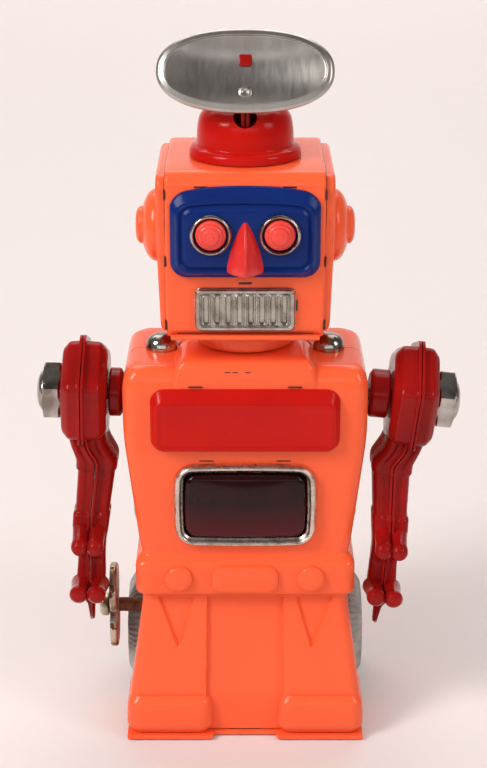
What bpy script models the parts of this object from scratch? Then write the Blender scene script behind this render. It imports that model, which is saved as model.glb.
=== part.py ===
"""Tin wind-up robot, built from its separate parts.

Lengths below are millimetres. X is the robot's own left, -Y is its front, Z is up,
and the floor is Z = 0. Pieces that touch in the real toy stand about 0.3 mm apart.
"""
import math

import bmesh
import bpy
import numpy as np
from mathutils import Vector

MM = 0.001                       # metres per millimetre
SHEET = 0.8                      # thickness of the pressed tin

KEY_AXIS = (-2.0, 33.5)          # y, z of the winding arbor
AXLE = (14.0, 18.5)              # y, z of the drive axle
SHOULDER = (-2.0, 105.5)         # y, z of the arm pivots
ANTENNA = (0.0, -10.5)           # x, y of the vertical antenna shaft
PILOT = (-18.0, 6.0)             # y, z of the front pilot wheel

TRAIN_MODULE = 2 * math.dist(KEY_AXIS, AXLE) / 54
GREAT_TEETH = 42
PINION_TEETH = 12
SPARK_MODULE = 0.7
INTERMEDIATE_TEETH = 40
CROWN_MODULE = 0.8
CROWN_TEETH = 16
CROWN_PINION_TEETH = 10

IDLE = (-1.0, KEY_AXIS[1] + math.sqrt((TRAIN_MODULE * 27) ** 2 - 1.0))
SPARK = (ANTENNA[1], IDLE[1] + math.sqrt((SPARK_MODULE * 26) ** 2 - (IDLE[0] - ANTENNA[1]) ** 2))

DISH_TILT = math.radians(27)
DISH_YAW = math.radians(-1)
DISH_CENTRE = (0.0, -12.2, 205.4)
DISH_HALF = (25.0, 12.2)
DISH_DEPTH = 3.0

for old in list(bpy.data.objects):
    bpy.data.objects.remove(old, do_unlink=True)

PAINTS = {
    "orange": ((0.86, 0.17, 0.06), 0.0, 0.3),
    "red": ((0.55, 0.01, 0.01), 0.0, 0.25),
    "blue": ((0.01, 0.03, 0.25), 0.0, 0.25),
    "nickel": ((0.6, 0.58, 0.54), 1.0, 0.3),
    "chrome": ((0.75, 0.75, 0.75), 1.0, 0.12),
    "steel": ((0.42, 0.41, 0.4), 1.0, 0.4),
    "brass": ((0.6, 0.42, 0.16), 1.0, 0.3),
    "rubber": ((0.22, 0.21, 0.2), 0.0, 0.8),
    "lens": ((0.25, 0.0, 0.01), 0.0, 0.1),
}


def finish(obj, name, paint, pivot=(0, 0, 0)):
    """Name an object, give it its own material and put its origin on its pivot."""
    colour, metallic, roughness = PAINTS[paint]
    obj.name = name
    obj.data.name = name
    material = bpy.data.materials.new(name)
    material.use_nodes = True
    shader = material.node_tree.nodes["Principled BSDF"]
    shader.inputs["Base Color"].default_value = (*colour, 1)
    shader.inputs["Metallic"].default_value = metallic
    shader.inputs["Roughness"].default_value = roughness
    obj.data.materials.clear()
    obj.data.materials.append(material)
    offset = Vector(pivot) * MM
    for vertex in obj.data.vertices:
        vertex.co -= offset
    obj.location = offset
    return obj


def body(vertices, faces):
    """Closed body from vertices in millimetres, faces turned outward."""
    mesh = bpy.data.meshes.new("body")
    mesh.from_pydata([tuple(float(c) * MM for c in v) for v in vertices], [], faces)
    bm = bmesh.new()
    bm.from_mesh(mesh)
    bmesh.ops.remove_doubles(bm, verts=bm.verts, dist=1e-6)
    bmesh.ops.recalc_face_normals(bm, faces=bm.faces)
    bm.to_mesh(mesh)
    bm.free()
    obj = bpy.data.objects.new("body", mesh)
    bpy.context.scene.collection.objects.link(obj)
    return obj


def loft(rings, closed=False):
    """Skin rings of equal length; capped at both ends unless the rings close on themselves."""
    count = len(rings[0])
    vertices = [point for ring in rings for point in ring]
    faces = []
    spans = len(rings) if closed else len(rings) - 1
    for i in range(spans):
        a = i * count
        b = ((i + 1) % len(rings)) * count
        for j in range(count):
            k = (j + 1) % count
            faces.append((a + j, a + k, b + k, b + j))
    if not closed:
        faces.append(tuple(range(count)))
        faces.append(tuple(range((len(rings) - 1) * count, len(rings) * count)))
    return body(vertices, faces)


def place(axis, u, v, h):
    """Point h along an axis with u, v in the plane across it."""
    return {"X": (h, u, v), "Y": (u, h, v), "Z": (u, v, h)}[axis]


def prism(outline, axis, a, b):
    """Straight bar of one outline between two stations on an axis."""
    return loft([[place(axis, u, v, h) for u, v in outline] for h in (a, b)])


def lathe(profile, axis, centre=(0, 0), steps=24, closed=False):
    """Turned body from (radius, station) points; its ends are capped flat."""
    rings = []
    for radius, station in profile:
        ring = []
        for i in range(steps):
            t = 2 * math.pi * i / steps
            u = centre[0] + radius * math.cos(t)
            v = centre[1] + radius * math.sin(t)
            ring.append(place(axis, u, v, station))
        rings.append(ring)
    return loft(rings, closed)


def rod(radius, axis, centre, a, b, steps=14):
    return lathe([(radius, a), (radius, b)], axis, centre, steps)


def rounded(half_u, half_v, radius, centre=(0, 0), steps=3):
    """Rounded rectangle outline."""
    points = []
    corners = ((1, 1, 0), (-1, 1, 90), (-1, -1, 180), (1, -1, 270))
    for su, sv, start in corners:
        for i in range(steps + 1):
            t = math.radians(start + 90 * i / steps)
            u = centre[0] + su * (half_u - radius) + radius * math.cos(t)
            v = centre[1] + sv * (half_v - radius) + radius * math.sin(t)
            points.append((u, v))
    return points


def box(x0, x1, y0, y1, z0, z1):
    return prism([(x0, y0), (x1, y0), (x1, y1), (x0, y1)], "Z", z0, z1)


def boolean(target, tools, operation="DIFFERENCE"):
    """Combine bodies with the exact solver; the tools are used up."""
    for tool in tools:
        tool.hide_render = True
        tool.display_type = "WIRE"
        modifier = target.modifiers.new("combine", "BOOLEAN")
        modifier.solver = "EXACT"
        modifier.operation = operation
        modifier.object = tool
    graph = bpy.context.evaluated_depsgraph_get()
    mesh = bpy.data.meshes.new_from_object(target.evaluated_get(graph))
    target.modifiers.clear()
    target.data = mesh
    for tool in tools:
        bpy.data.objects.remove(tool, do_unlink=True)
    return target


def pan(half_u, half_v, radius, centre, back, front, bevel, wall):
    """Pressed tray facing -Y: flat face, sloping edge, open back."""
    rows = [
        (half_u - bevel, half_v - bevel, max(radius - bevel, 0.6), front),
        (half_u - 0.3 * bevel, half_v - 0.3 * bevel, radius, front + 0.35 * (back - front)),
        (half_u, half_v, radius, back),
        (half_u - wall, half_v - wall, radius, back),
        (half_u - wall - 0.3 * bevel, half_v - wall - 0.3 * bevel, radius,
         front + wall + 0.35 * (back - front - wall)),
        (half_u - bevel - wall, half_v - bevel - wall, max(radius - bevel, 0.6), front + wall),
    ]
    return loft([[place("Y", u, v, y) for u, v in rounded(a, b, r, centre)] for a, b, r, y in rows])


def gear(teeth, module, phase, axis, centre, a, b):
    """Spur gear with tapered stamped teeth and generous backlash."""
    pitch_radius = teeth * module / 2
    rows = (
        (pitch_radius - 1.15 * module, 0.27),
        (pitch_radius + 0.85 * module, 0.085),
    )
    outline = []
    for tooth in range(teeth):
        middle = phase + 2 * math.pi * tooth / teeth
        flank = [(radius, -share) for radius, share in rows]
        flank += [(radius, share) for radius, share in reversed(rows)]
        for radius, share in flank:
            t = middle + share * 2 * math.pi / teeth
            outline.append((centre[0] + radius * math.cos(t), centre[1] + radius * math.sin(t)))
    return prism(outline, axis, a, b)


def meshed(centre_a, teeth_a, phase_a, centre_b, teeth_b):
    """Phase that puts a gap of gear b on the tooth of gear a nearest their line of centres."""
    line = math.atan2(centre_b[1] - centre_a[1], centre_b[0] - centre_a[0])
    step = 2 * math.pi / teeth_a
    past = phase_a + round((line - phase_a) / step) * step - line
    return line + math.pi - past * teeth_a / teeth_b + math.pi / teeth_b


# ---------------------------------------------------------------- body shells
# Each row is z, half width, front y, rear y and corner radius of the pressed body.
SECTIONS = [
    (2.2, 35.6, -26.4, 24.0, 3.0),
    (14.0, 35.5, -26.0, 24.0, 3.0),
    (46.0, 31.0, -19.5, 21.5, 3.0),
    (47.8, 33.3, -22.4, 21.7, 3.0),
    (56.9, 33.3, -22.4, 21.7, 3.0),
    (59.2, 31.4, -19.5, 21.5, 3.0),
    (62.0, 32.0, -19.5, 21.5, 3.0),
    (97.0, 36.3, -19.5, 21.5, 4.0),
    (113.0, 36.3, -19.5, 21.5, 4.0),
    (117.2, 35.0, -18.2, 20.6, 4.0),
    (119.0, 32.6, -15.8, 18.6, 4.0),
]
SHOE_X = (9.7, 36.7)
WELL_X = 30.6
WELL_R = 20.3


def body_solid(inset, well_growth, bottom):
    """Body as a solid, drawn in by the sheet thickness for the inside of the pressing."""
    rings = []
    for i, (z, half, front, rear, radius) in enumerate(SECTIONS):
        level = bottom if i == 0 else z - (inset if i >= len(SECTIONS) - 2 else 0)
        outline = rounded(half - inset, (rear - front) / 2 - inset, radius - inset / 2,
                          (0, (rear + front) / 2))
        rings.append([(u, v, level) for u, v in outline])
    solid = loft(rings)
    yoke = [(-18.4, 122), (18.4, 122), (20.6, 118), (-20.6, 118)]
    inner_yoke = [(u * (1 - inset / 20), z - inset) for u, z in yoke]
    parts = [prism(inner_yoke, "Y", -15.6 + inset, 17.8 - inset)]
    for side in (-1, 1):
        x0, x1 = sorted((side * (SHOE_X[0] + inset), side * (SHOE_X[1] - inset)))
        top = 14.5 - inset
        front = -29.0 + inset
        toe = [(front, bottom), (front + 0.5, top - 2.0), (front + 3.2, top), (-7.0 - inset, top),
               (-7.0 - inset, bottom)]
        parts.append(prism(toe, "X", x0, x1))
    boolean(solid, parts, "UNION")
    wells = []
    for side in (-1, 1):
        x0, x1 = sorted((side * (WELL_X - well_growth), side * 45))
        wells.append(rod(WELL_R + well_growth, "X", AXLE, x0, x1, 28))
    return boolean(solid, wells)


def shell(name, y0, y1):
    solid = body_solid(0.0, 0.0, 2.2)
    inside = body_solid(SHEET, SHEET, -1.0)
    holes = [
        inside,
        rod(3.2, "X", SHOULDER, -40, 40),
        rod(3.2, "X", KEY_AXIS, -40, -26),
        rod(2.2, "X", AXLE, -34, 34),
        rod(1.9, "Z", ANTENNA, 100, 130),
        prism(rounded(18.6, 11.8, 3, (0, 75.9)), "Y", -24, -15),
    ]
    boolean(solid, holes)
    boolean(solid, [box(-60, 60, y0, y1, -5, 140)], "INTERSECT")
    if name == "front_shell":
        raised = [lathe([(3.4, -23.3), (3.4, -21.9)], "Y", (side * 20, 52.8), 14) for side in (-1, 1)]
        raised.append(prism(rounded(9.5, 3.9, 1.8, (0, 52.6)), "Y", -23.3, -21.9))
        boolean(solid, raised, "UNION")
    return finish(solid, name, "orange")


shell("front_shell", -60, -0.15)
shell("rear_shell", 0.15, 60)

base_outline = [
    (36.4, -28.8), (36.4, -7.0), (30.2, -6.6), (30.2, 23.6), (-30.2, 23.6), (-30.2, -6.6),
    (-36.4, -7.0), (-36.4, -28.8), (-10.2, -28.8), (-9.4, -26.0), (9.4, -26.0), (10.2, -28.8),
]
base = prism(base_outline, "Z", 0.6, 1.8)
boolean(base, [box(-5.2, 5.2, -24.8, -10.6, -1, 4)])
finish(base, "base_plate", "orange")

for side, label in ((1, "left"), (-1, "right")):
    dome = [(4.6, 119.3), (4.6, 120.0)]
    for angle in (22, 45, 68, 85):
        t = math.radians(angle)
        dome.append((4.6 * math.cos(t), 120.0 + 3.6 * math.sin(t)))
    finish(lathe(dome, "Z", (side * 25.2, 0), 18), f"shoulder_dome_{label}", "chrome")

    tank = []
    for angle in (-85, -55, -25, 0):
        t = math.radians(angle)
        tank.append((5.2 * math.cos(t), 52.0 + 4.4 * math.sin(t)))
    for angle in (0, 25, 55, 85):
        t = math.radians(angle)
        tank.append((5.2 * math.cos(t), 103.0 + 4.4 * math.sin(t)))
    finish(lathe(tank, "Z", (side * 31.2, 27.2), 20), f"air_cylinder_{label}", "steel")

# ---------------------------------------------------------------- chest panel and window
finish(pan(28.0, 9.85, 2.6, (0, 103.15), -19.8, -22.8, 2.8, SHEET), "chest_panel", "red")

bezel_rows = [
    (21.3, 13.95, 5.0, -19.8), (21.3, 13.95, 5.0, -20.9), (20.4, 13.05, 4.4, -21.9),
    (19.2, 11.85, 3.6, -21.9), (18.0, 10.6, 2.6, -20.6), (18.0, 10.6, 2.6, -19.8),
]
bezel = loft([[place("Y", u, v, y) for u, v in rounded(a, b, r, (0, 76.4))]
              for a, b, r, y in bezel_rows], closed=True)
finish(bezel, "window_bezel", "nickel")

lens_rows = [(17.6, 10.2, 2.4, -18.9), (17.6, 10.2, 2.4, -21.2), (16.4, 9.0, 2.0, -22.3)]
lens = loft([[place("Y", u, v, y) for u, v in rounded(a, b, r, (0, 76.0))] for a, b, r, y in lens_rows])
finish(lens, "window_lens", "lens")

# ---------------------------------------------------------------- neck and head
neck = lathe([(14.2, 122.3), (15.2, 123.2), (15.2, 126.6), (14.0, 128.2)], "Z", (0, 0), 28)
boolean(neck, [rod(1.9, "Z", ANTENNA, 120, 132)])
finish(neck, "neck_disc", "orange")

head_centre = (2.0, 153.7)
outer = rounded(24.0, 24.7, 4.0, head_centre)
inner = rounded(24.0 - SHEET, 24.7 - SHEET, 3.4, head_centre)
wrap = prism(outer, "X", -22.7, 22.7)
boolean(wrap, [
    prism(inner, "X", -30, 30),
    rod(1.9, "Z", ANTENNA, 125, 185),
])
finish(wrap, "head_wrap", "orange")

for side, label in ((1, "left"), (-1, "right")):
    rows = [(22.4, 23.1, 4.0, 23.0), (22.4, 23.1, 4.0, 24.1), (21.4, 22.1, 3.4, 24.8),
            (21.0, 21.7, 3.2, 24.0), (21.6, 22.3, 3.4, 23.0)]
    rings = [[(side * x, u, v) for u, v in rounded(a, b, r, head_centre)] for a, b, r, x in rows]
    cap = loft([rings[3], rings[4], rings[0], rings[1], rings[2]])
    finish(cap, f"head_side_{label}", "orange")
    ear = lathe([(10.9, side * 25.1), (10.9, side * 26.2), (10.0, side * 26.5), (5.6, side * 29.9),
                 (5.5, side * 31.2), (3.6, side * 32.0), (0.8, side * 32.2)], "X", (0, 157.4), 20)
    finish(ear, f"ear_{label}", "orange")

cap_outer = [(16.2, 178.7), (16.2, 180.9), (15.6, 181.4), (14.0, 181.8), (14.0, 187.0)]
cap_inner = []
for angle in (25, 50, 75):
    t = math.radians(angle)
    cap_outer.append((7.6 + 6.4 * math.cos(t), 187.0 + 6.4 * math.sin(t)))
    cap_inner.append((7.6 + 5.4 * math.cos(t), 187.0 + 5.4 * math.sin(t)))
cap_profile = cap_outer + [(6.5, 193.4), (6.5, 192.4)] + cap_inner[::-1]
cap_profile += [(13.0, 187.0), (13.0, 180.9), (15.1, 180.3), (15.1, 178.7)]
rings = []
for radius, station in cap_profile:
    rings.append([(radius * math.cos(2 * math.pi * i / 24), radius * math.sin(2 * math.pi * i / 24),
                   station) for i in range(24)])
split = cap_profile.index((6.5, 192.4))
cap = loft(rings[split:] + rings[:split])
hole_axis = math.radians(52)
hole = rod(3.4, "Z", (0, 0), -2.2, 6, 16)
for vertex in hole.data.vertices:
    x, y, z = vertex.co
    vertex.co = (
        x,
        y * math.sin(hole_axis) - z * math.cos(hole_axis) - 11.54 * MM,
        y * math.cos(hole_axis) + z * math.sin(hole_axis) + 192.04 * MM,
    )
boolean(cap, [hole])
finish(cap, "head_cap", "red")

# ---------------------------------------------------------------- face
mask = pan(21.3, 13.4, 4.5, (0, 161.6), -22.3, -26.0, 2.6, SHEET)
boolean(mask, [rod(4.7, "Y", (side * 9.7, 161.7), -30, -20) for side in (-1, 1)])
finish(mask, "face_mask", "blue")

for side, label in ((1, "left"), (-1, "right")):
    centre = (side * 9.7, 161.7)
    ring = lathe([(5.85, -26.3), (5.85, -27.2), (5.4, -27.7), (4.9, -27.6), (4.75, -27.0), (4.75, -26.3)],
                 "Y", centre, 20, closed=True)
    finish(ring, f"eye_ring_{label}", "chrome")
    pupil = lathe([(4.35, -23.8), (4.35, -27.6), (3.5, -28.0), (3.4, -28.7), (2.6, -29.5), (1.0, -29.9)],
                  "Y", centre, 16)
    finish(pupil, f"eye_lens_{label}", "red")

nose_rows = []
for z, half, reach in ((150.2, 4.6, 5.2), (151.4, 5.2, 6.2), (155.5, 4.3, 5.0), (161.0, 2.8, 3.0),
                       (164.4, 1.6, 1.5), (165.2, 0.8, 0.8)):
    nose_rows.append([(-half, -26.3, z), (half, -26.3, z), (half * 0.72, -26.3 - 0.55 * reach, z),
                      (half * 0.16, -26.3 - reach, z), (-half * 0.16, -26.3 - reach, z),
                      (-half * 0.72, -26.3 - 0.55 * reach, z)])
finish(loft(nose_rows), "nose", "red")

grille = pan(14.5, 6.5, 2.2, (0, 138.5), -22.3, -23.6, 0.8, 0.6)
boolean(grille, [box(x - 0.55, x + 0.55, -25, -20, 134.4, 142.6)
                 for x in np.linspace(-11.2, 11.2, 8).tolist()])
finish(grille, "mouth_grille", "steel")

# ---------------------------------------------------------------- clockwork frame
plate_outline = [(-13.5, 2.1), (16.5, 2.1), (16.8, 62.0), (8.0, 84.0), (-14.5, 84.0), (-16.5, 62.0),
                 (-16.5, 40.0), (-13.5, 26.0)]
PILLARS = [(14.5, 45.0), (-11.4, 13.2), (10.6, 70.0), (3.0, 80.0)]
for side, label in ((1, "left"), (-1, "right")):
    x0, x1 = sorted((side * 16.0, side * 17.0))
    plate = prism(plate_outline, "X", x0, x1)
    bores = [rod(2.6, "X", KEY_AXIS, -20, 20), rod(1.9, "X", AXLE, -20, 20),
             rod(1.5, "X", IDLE, -20, 20), rod(1.5, "X", SPARK, -20, 20)]
    boolean(plate, bores)
    if label == "left":
        boolean(plate, [rod(1.4, "X", centre, -15.7, 16.5, 16) for centre in PILLARS], "UNION")
    finish(plate, f"frame_plate_{label}", "steel")

# Spiral spring: the radius grows evenly over five turns, then the tail runs to its pillar.
spiral = []
for i in range(61):
    t = 0.6 + 2 * math.pi * i / 12
    reach = 3.3 + 11.0 * i / 60
    spiral.append((KEY_AXIS[0] + reach * math.cos(t), KEY_AXIS[1] + reach * math.sin(t)))
spiral.append((13.0, 41.4))
edges = []
for i, (y, z) in enumerate(spiral):
    before = spiral[max(i - 1, 0)]
    after = spiral[min(i + 1, len(spiral) - 1)]
    along = Vector((after[0] - before[0], after[1] - before[1])).normalized()
    edges.append(((y - 0.25 * along.y, z + 0.25 * along.x), (y + 0.25 * along.y, z - 0.25 * along.x)))
spring = loft([[(-5, a[0], a[1]), (9, a[0], a[1]), (9, b[0], b[1]), (-5, b[0], b[1])] for a, b in edges])
finish(spring, "mainspring", "steel")

flint = box(11.0, 15.7, -2.9, 1.5, 69.2, 72.6)
finish(flint, "flint_holder", "brass")

bracket = prism([(-9.0, 2.1), (-5.6, 2.1), (-5.6, 12.4), (5.6, 12.4), (5.6, 2.1), (9.0, 2.1),
                 (9.0, 3.0), (6.5, 3.0), (6.5, 13.3), (-6.5, 13.3), (-6.5, 3.0), (-9.0, 3.0)],
                "Y", -21.0, -15.0)
boolean(bracket, [rod(1.0, "X", PILOT, -7.5, 7.5, 16)], "UNION")
finish(bracket, "pilot_bracket", "steel")

pilot = lathe([(6.0, -2.6), (6.0, 2.6), (1.3, 2.6), (1.3, -2.6)], "X", PILOT, 20, closed=True)
finish(pilot, "pilot_wheel", "rubber", (0, *PILOT))

# ---------------------------------------------------------------- winding key
key_pivot = (0, *KEY_AXIS)
finish(rod(2.25, "X", KEY_AXIS, -39.9, 18.0), "key_arbor", "steel", key_pivot)

wings = []
for i in range(28):
    t = 2 * math.pi * i / 28
    reach = 4.4 + 9.6 * abs(math.sin(t)) ** 1.6
    wings.append((KEY_AXIS[0] + reach * math.cos(t) * 1.05, KEY_AXIS[1] + reach * math.sin(t)))
finish(prism(wings, "X", -42.5, -40.2), "key_plate", "nickel", key_pivot)
hub = lathe([(2.8, -42.8), (3.6, -43.2), (3.6, -45.2), (2.6, -45.9)], "X", KEY_AXIS, 14)
finish(hub, "key_hub", "brass", key_pivot)

saw = []
for i in range(12):
    t = 2 * math.pi * i / 12
    saw.append((KEY_AXIS[0] + 6.0 * math.cos(t), KEY_AXIS[1] + 6.0 * math.sin(t)))
    t += 0.12
    saw.append((KEY_AXIS[0] + 4.9 * math.cos(t), KEY_AXIS[1] + 4.9 * math.sin(t)))
ratchet = prism(saw, "X", -12.0, -10.8)
boolean(ratchet, [rod(2.55, "X", KEY_AXIS, -20, 0)])
finish(ratchet, "ratchet_wheel", "brass", key_pivot)

# ---------------------------------------------------------------- gear train
toward_axle = math.atan2(AXLE[1] - KEY_AXIS[1], AXLE[0] - KEY_AXIS[0])
great = gear(GREAT_TEETH, TRAIN_MODULE, toward_axle, "X", KEY_AXIS, -14.0, -12.6)
boolean(great, [rod(2.55, "X", KEY_AXIS, -20, 0)])
finish(great, "great_wheel", "brass", key_pivot)

axle_pivot = (0, *AXLE)
phase = meshed(KEY_AXIS, GREAT_TEETH, toward_axle, AXLE, PINION_TEETH)
pinion = gear(PINION_TEETH, TRAIN_MODULE, phase, "X", AXLE, -15.4, -11.4)
boolean(pinion, [rod(1.75, "X", AXLE, -20, 0)])
finish(pinion, "axle_pinion", "brass", axle_pivot)
finish(rod(1.5, "X", AXLE, -38.4, 38.4), "drive_axle", "steel", axle_pivot)

for side, label in ((1, "left"), (-1, "right")):
    tread = [(13.2, 31.5), (17.6, 31.7), (18.5, 32.4), (18.5, 33.6), (17.2, 35.4), (14.0, 37.6),
             (13.2, 37.6)]
    tread = [(radius, side * x) for radius, x in tread]
    tyre = lathe(tread, "X", AXLE, 32, closed=True)
    finish(tyre, f"tyre_{label}", "rubber", axle_pivot)
    disc = [(1.75, 32.0), (12.9, 32.0), (12.9, 36.9), (11.6, 37.3), (10.6, 35.8), (5.0, 35.8),
            (4.2, 37.2), (1.75, 37.6)]
    disc = [(radius, side * x) for radius, x in disc]
    finish(lathe(disc, "X", AXLE, 24, closed=True), f"wheel_hub_{label}", "red", axle_pivot)

idle_pivot = (0, *IDLE)
idle_phase = meshed(KEY_AXIS, GREAT_TEETH, toward_axle, IDLE, PINION_TEETH)
idle_pinion = gear(PINION_TEETH, TRAIN_MODULE, idle_phase, "X", IDLE, -15.4, -10.4)
boolean(idle_pinion, [rod(1.2, "X", IDLE, -17.5, 17.5, 16)], "UNION")
finish(idle_pinion, "idle_pinion", "steel", idle_pivot)
toward_spark = math.atan2(SPARK[1] - IDLE[1], SPARK[0] - IDLE[0])
idle_gear = gear(INTERMEDIATE_TEETH, SPARK_MODULE, toward_spark, "X", IDLE, -9.0, -7.6)
boolean(idle_gear, [rod(1.5, "X", IDLE, -20, 0)])
finish(idle_gear, "idle_gear", "brass", idle_pivot)

spark_pivot = (0, *SPARK)
spark_phase = meshed(IDLE, INTERMEDIATE_TEETH, toward_spark, SPARK, PINION_TEETH)
spark_arbor = gear(PINION_TEETH, SPARK_MODULE, spark_phase, "X", SPARK, -10.2, -7.5)
crown_pinion = gear(CROWN_PINION_TEETH, CROWN_MODULE, math.pi / 2, "X", SPARK, -7.1, -5.7)
boolean(spark_arbor, [crown_pinion, rod(1.2, "X", SPARK, -17.5, 17.5, 16)], "UNION")
finish(spark_arbor, "spark_arbor", "steel", spark_pivot)
spark_wheel = rod(7.0, "X", SPARK, 10.6, 14.2, 24)
boolean(spark_wheel, [rod(1.5, "X", SPARK, 5, 20, 16)])
finish(spark_wheel, "spark_wheel", "steel", spark_pivot)

# ---------------------------------------------------------------- antenna
antenna_pivot = (ANTENNA[0], ANTENNA[1], 0)
crown_z = SPARK[1] + CROWN_MODULE * CROWN_PINION_TEETH / 2 + 1.0
shaft = lathe([(1.1, crown_z - 0.4), (8.0, crown_z - 0.01), (8.0, crown_z + 1.3), (1.1, crown_z + 1.6),
               (1.1, 183.7)], "Z", ANTENNA, 20)
teeth = []
for i in range(CROWN_TEETH):
    t = math.pi + 2 * math.pi * (i + 0.5) / CROWN_TEETH
    corners = []
    for radius in (5.2, 7.15):
        half = 0.14 * 2 * math.pi / CROWN_TEETH * radius
        for sign in (-1, 1):
            corners.append((radius, sign * half))
    corners = [corners[0], corners[2], corners[3], corners[1]]
    rings = []
    for level, thin in ((crown_z - 1.75, 0.55), (crown_z + 0.3, 1.0)):
        rings.append([(ANTENNA[0] + r * math.cos(t) - thin * w * math.sin(t),
                       ANTENNA[1] + r * math.sin(t) + thin * w * math.cos(t), level)
                      for r, w in corners])
    teeth.append(loft(rings))
boolean(shaft, teeth, "UNION")
finish(shaft, "antenna_shaft", "steel", antenna_pivot)

up = Vector((0, math.sin(DISH_TILT), math.cos(DISH_TILT)))
normal = Vector((0, -math.cos(DISH_TILT), math.sin(DISH_TILT)))


def on_dish(x, s, lift):
    """Point of the dish plane: x across, s up the tilted face, lift along its normal."""
    point = Vector(DISH_CENTRE) + Vector((x, 0, 0)) + up * s + normal * lift
    dx = point.x - ANTENNA[0]
    dy = point.y - ANTENNA[1]
    return (ANTENNA[0] + dx * math.cos(DISH_YAW) - dy * math.sin(DISH_YAW),
            ANTENNA[1] + dx * math.sin(DISH_YAW) + dy * math.cos(DISH_YAW), point.z)


def peg(radius, s, low, high, x=0.0):
    rings = []
    for lift in (low, high):
        rings.append([on_dish(x + radius * math.cos(a), s + radius * math.sin(a), lift)
                      for a in np.linspace(0, 2 * math.pi, 11)[:-1].tolist()])
    return loft(rings)


rows = []
for share, back in ((1.0, 0), (0.985, 0.5), (0.94, 0.2), (0.9, -0.1), (0.6, 0), (0.3, 0), (0.02, 0)):
    rows.append((share, back - DISH_DEPTH * (1 - share ** 2)))
for share in (0.02, 0.3, 0.6, 0.9, 1.0):
    rows.append((share, -0.6 - DISH_DEPTH * (1 - share ** 2)))
rings = []
for share, lift in rows:
    rings.append([on_dish(DISH_HALF[0] * share * math.cos(a), DISH_HALF[1] * share * math.sin(a), lift)
                  for a in np.linspace(0, 2 * math.pi, 31)[:-1].tolist()])
dish = loft(rings[7:] + rings[:7])
boolean(dish, [peg(1.5, 3.4, -6, 2), peg(1.3, -7.2, -6, 2)])
finish(dish, "radar_dish", "steel", antenna_pivot)

post = rod(1.3, "Z", ANTENNA, 184.0, 198.0, 16)
spine = []
for s in (-6.2, 5.0):
    spine.append([on_dish(a, s, lift) for a, lift in ((-1.2, -6.4), (1.2, -6.4), (1.2, -4.2), (-1.2, -4.2))])
stub = loft([[on_dish(a, -7.2 + b, lift) for a, b in ((-0.7, -0.7), (0.7, -0.7), (0.7, 0.7), (-0.7, 0.7))]
             for lift in (-6.2, -1.2)])
boolean(post, [loft(spine), stub, peg(1.15, 3.4, -5, -1.6)], "UNION")
finish(post, "antenna_post", "red", antenna_pivot)

# ---------------------------------------------------------------- arms
# The two arms are the same design; each leans a little on its loose bolt.
LEAN = {1: math.radians(6.0), -1: math.radians(1.5)}
REACH = {1: 51.1, -1: 48.8}      # distance of the arm seam from the middle of the body
WALL_X = 36.5
HEX_TURN = math.radians(22)
LIMB = [                         # z, seam offset, outer and inner width, front y, rear y
    (97.0, 0.0, 5.2, 6.2, -12.5, 7.5),
    (91.0, -1.4, 4.6, 5.8, -13.0, 5.0),
    (86.4, -4.1, 5.3, 6.2, -12.8, 2.4),
    (83.6, -4.0, 5.2, 6.0, -12.6, 1.6),
    (82.8, -3.9, 4.5, 5.4, -12.2, 1.0),
    (70.4, -2.9, 4.1, 4.7, -14.0, -4.0),
    (69.6, -2.8, 4.7, 5.1, -14.8, -4.0),
    (65.0, -2.5, 4.6, 5.0, -15.6, -5.2),
    (59.5, -2.4, 4.2, 4.8, -13.0, -6.0),
    (54.0, -2.4, 3.7, 4.6, -11.5, -6.4),
    (47.0, -2.4, 4.2, 4.7, -13.5, -7.4),
    (42.4, -2.5, 3.4, 3.9, -13.6, -8.0),
    (39.0, -2.7, 1.1, 1.3, -13.0, -8.4),
    (33.6, -3.0, 0.6, 0.8, -12.2, -9.6),
]


def leaned(obj, side):
    """Tip an arm piece about the body wall, nut end down on the robot's left."""
    lean = LEAN[side]
    for vertex in obj.data.vertices:
        x = vertex.co.x - side * WALL_X * MM
        z = vertex.co.z - SHOULDER[1] * MM
        vertex.co.x = side * WALL_X * MM + x * math.cos(lean) + z * math.sin(lean)
        vertex.co.z = SHOULDER[1] * MM - x * math.sin(lean) + z * math.cos(lean)
    return obj


def hexagon(radius):
    return [(SHOULDER[0] - radius * math.cos(HEX_TURN + t), SHOULDER[1] + radius * math.sin(HEX_TURN + t))
            for t in np.linspace(0, 2 * math.pi, 7)[:-1].tolist()]


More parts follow.
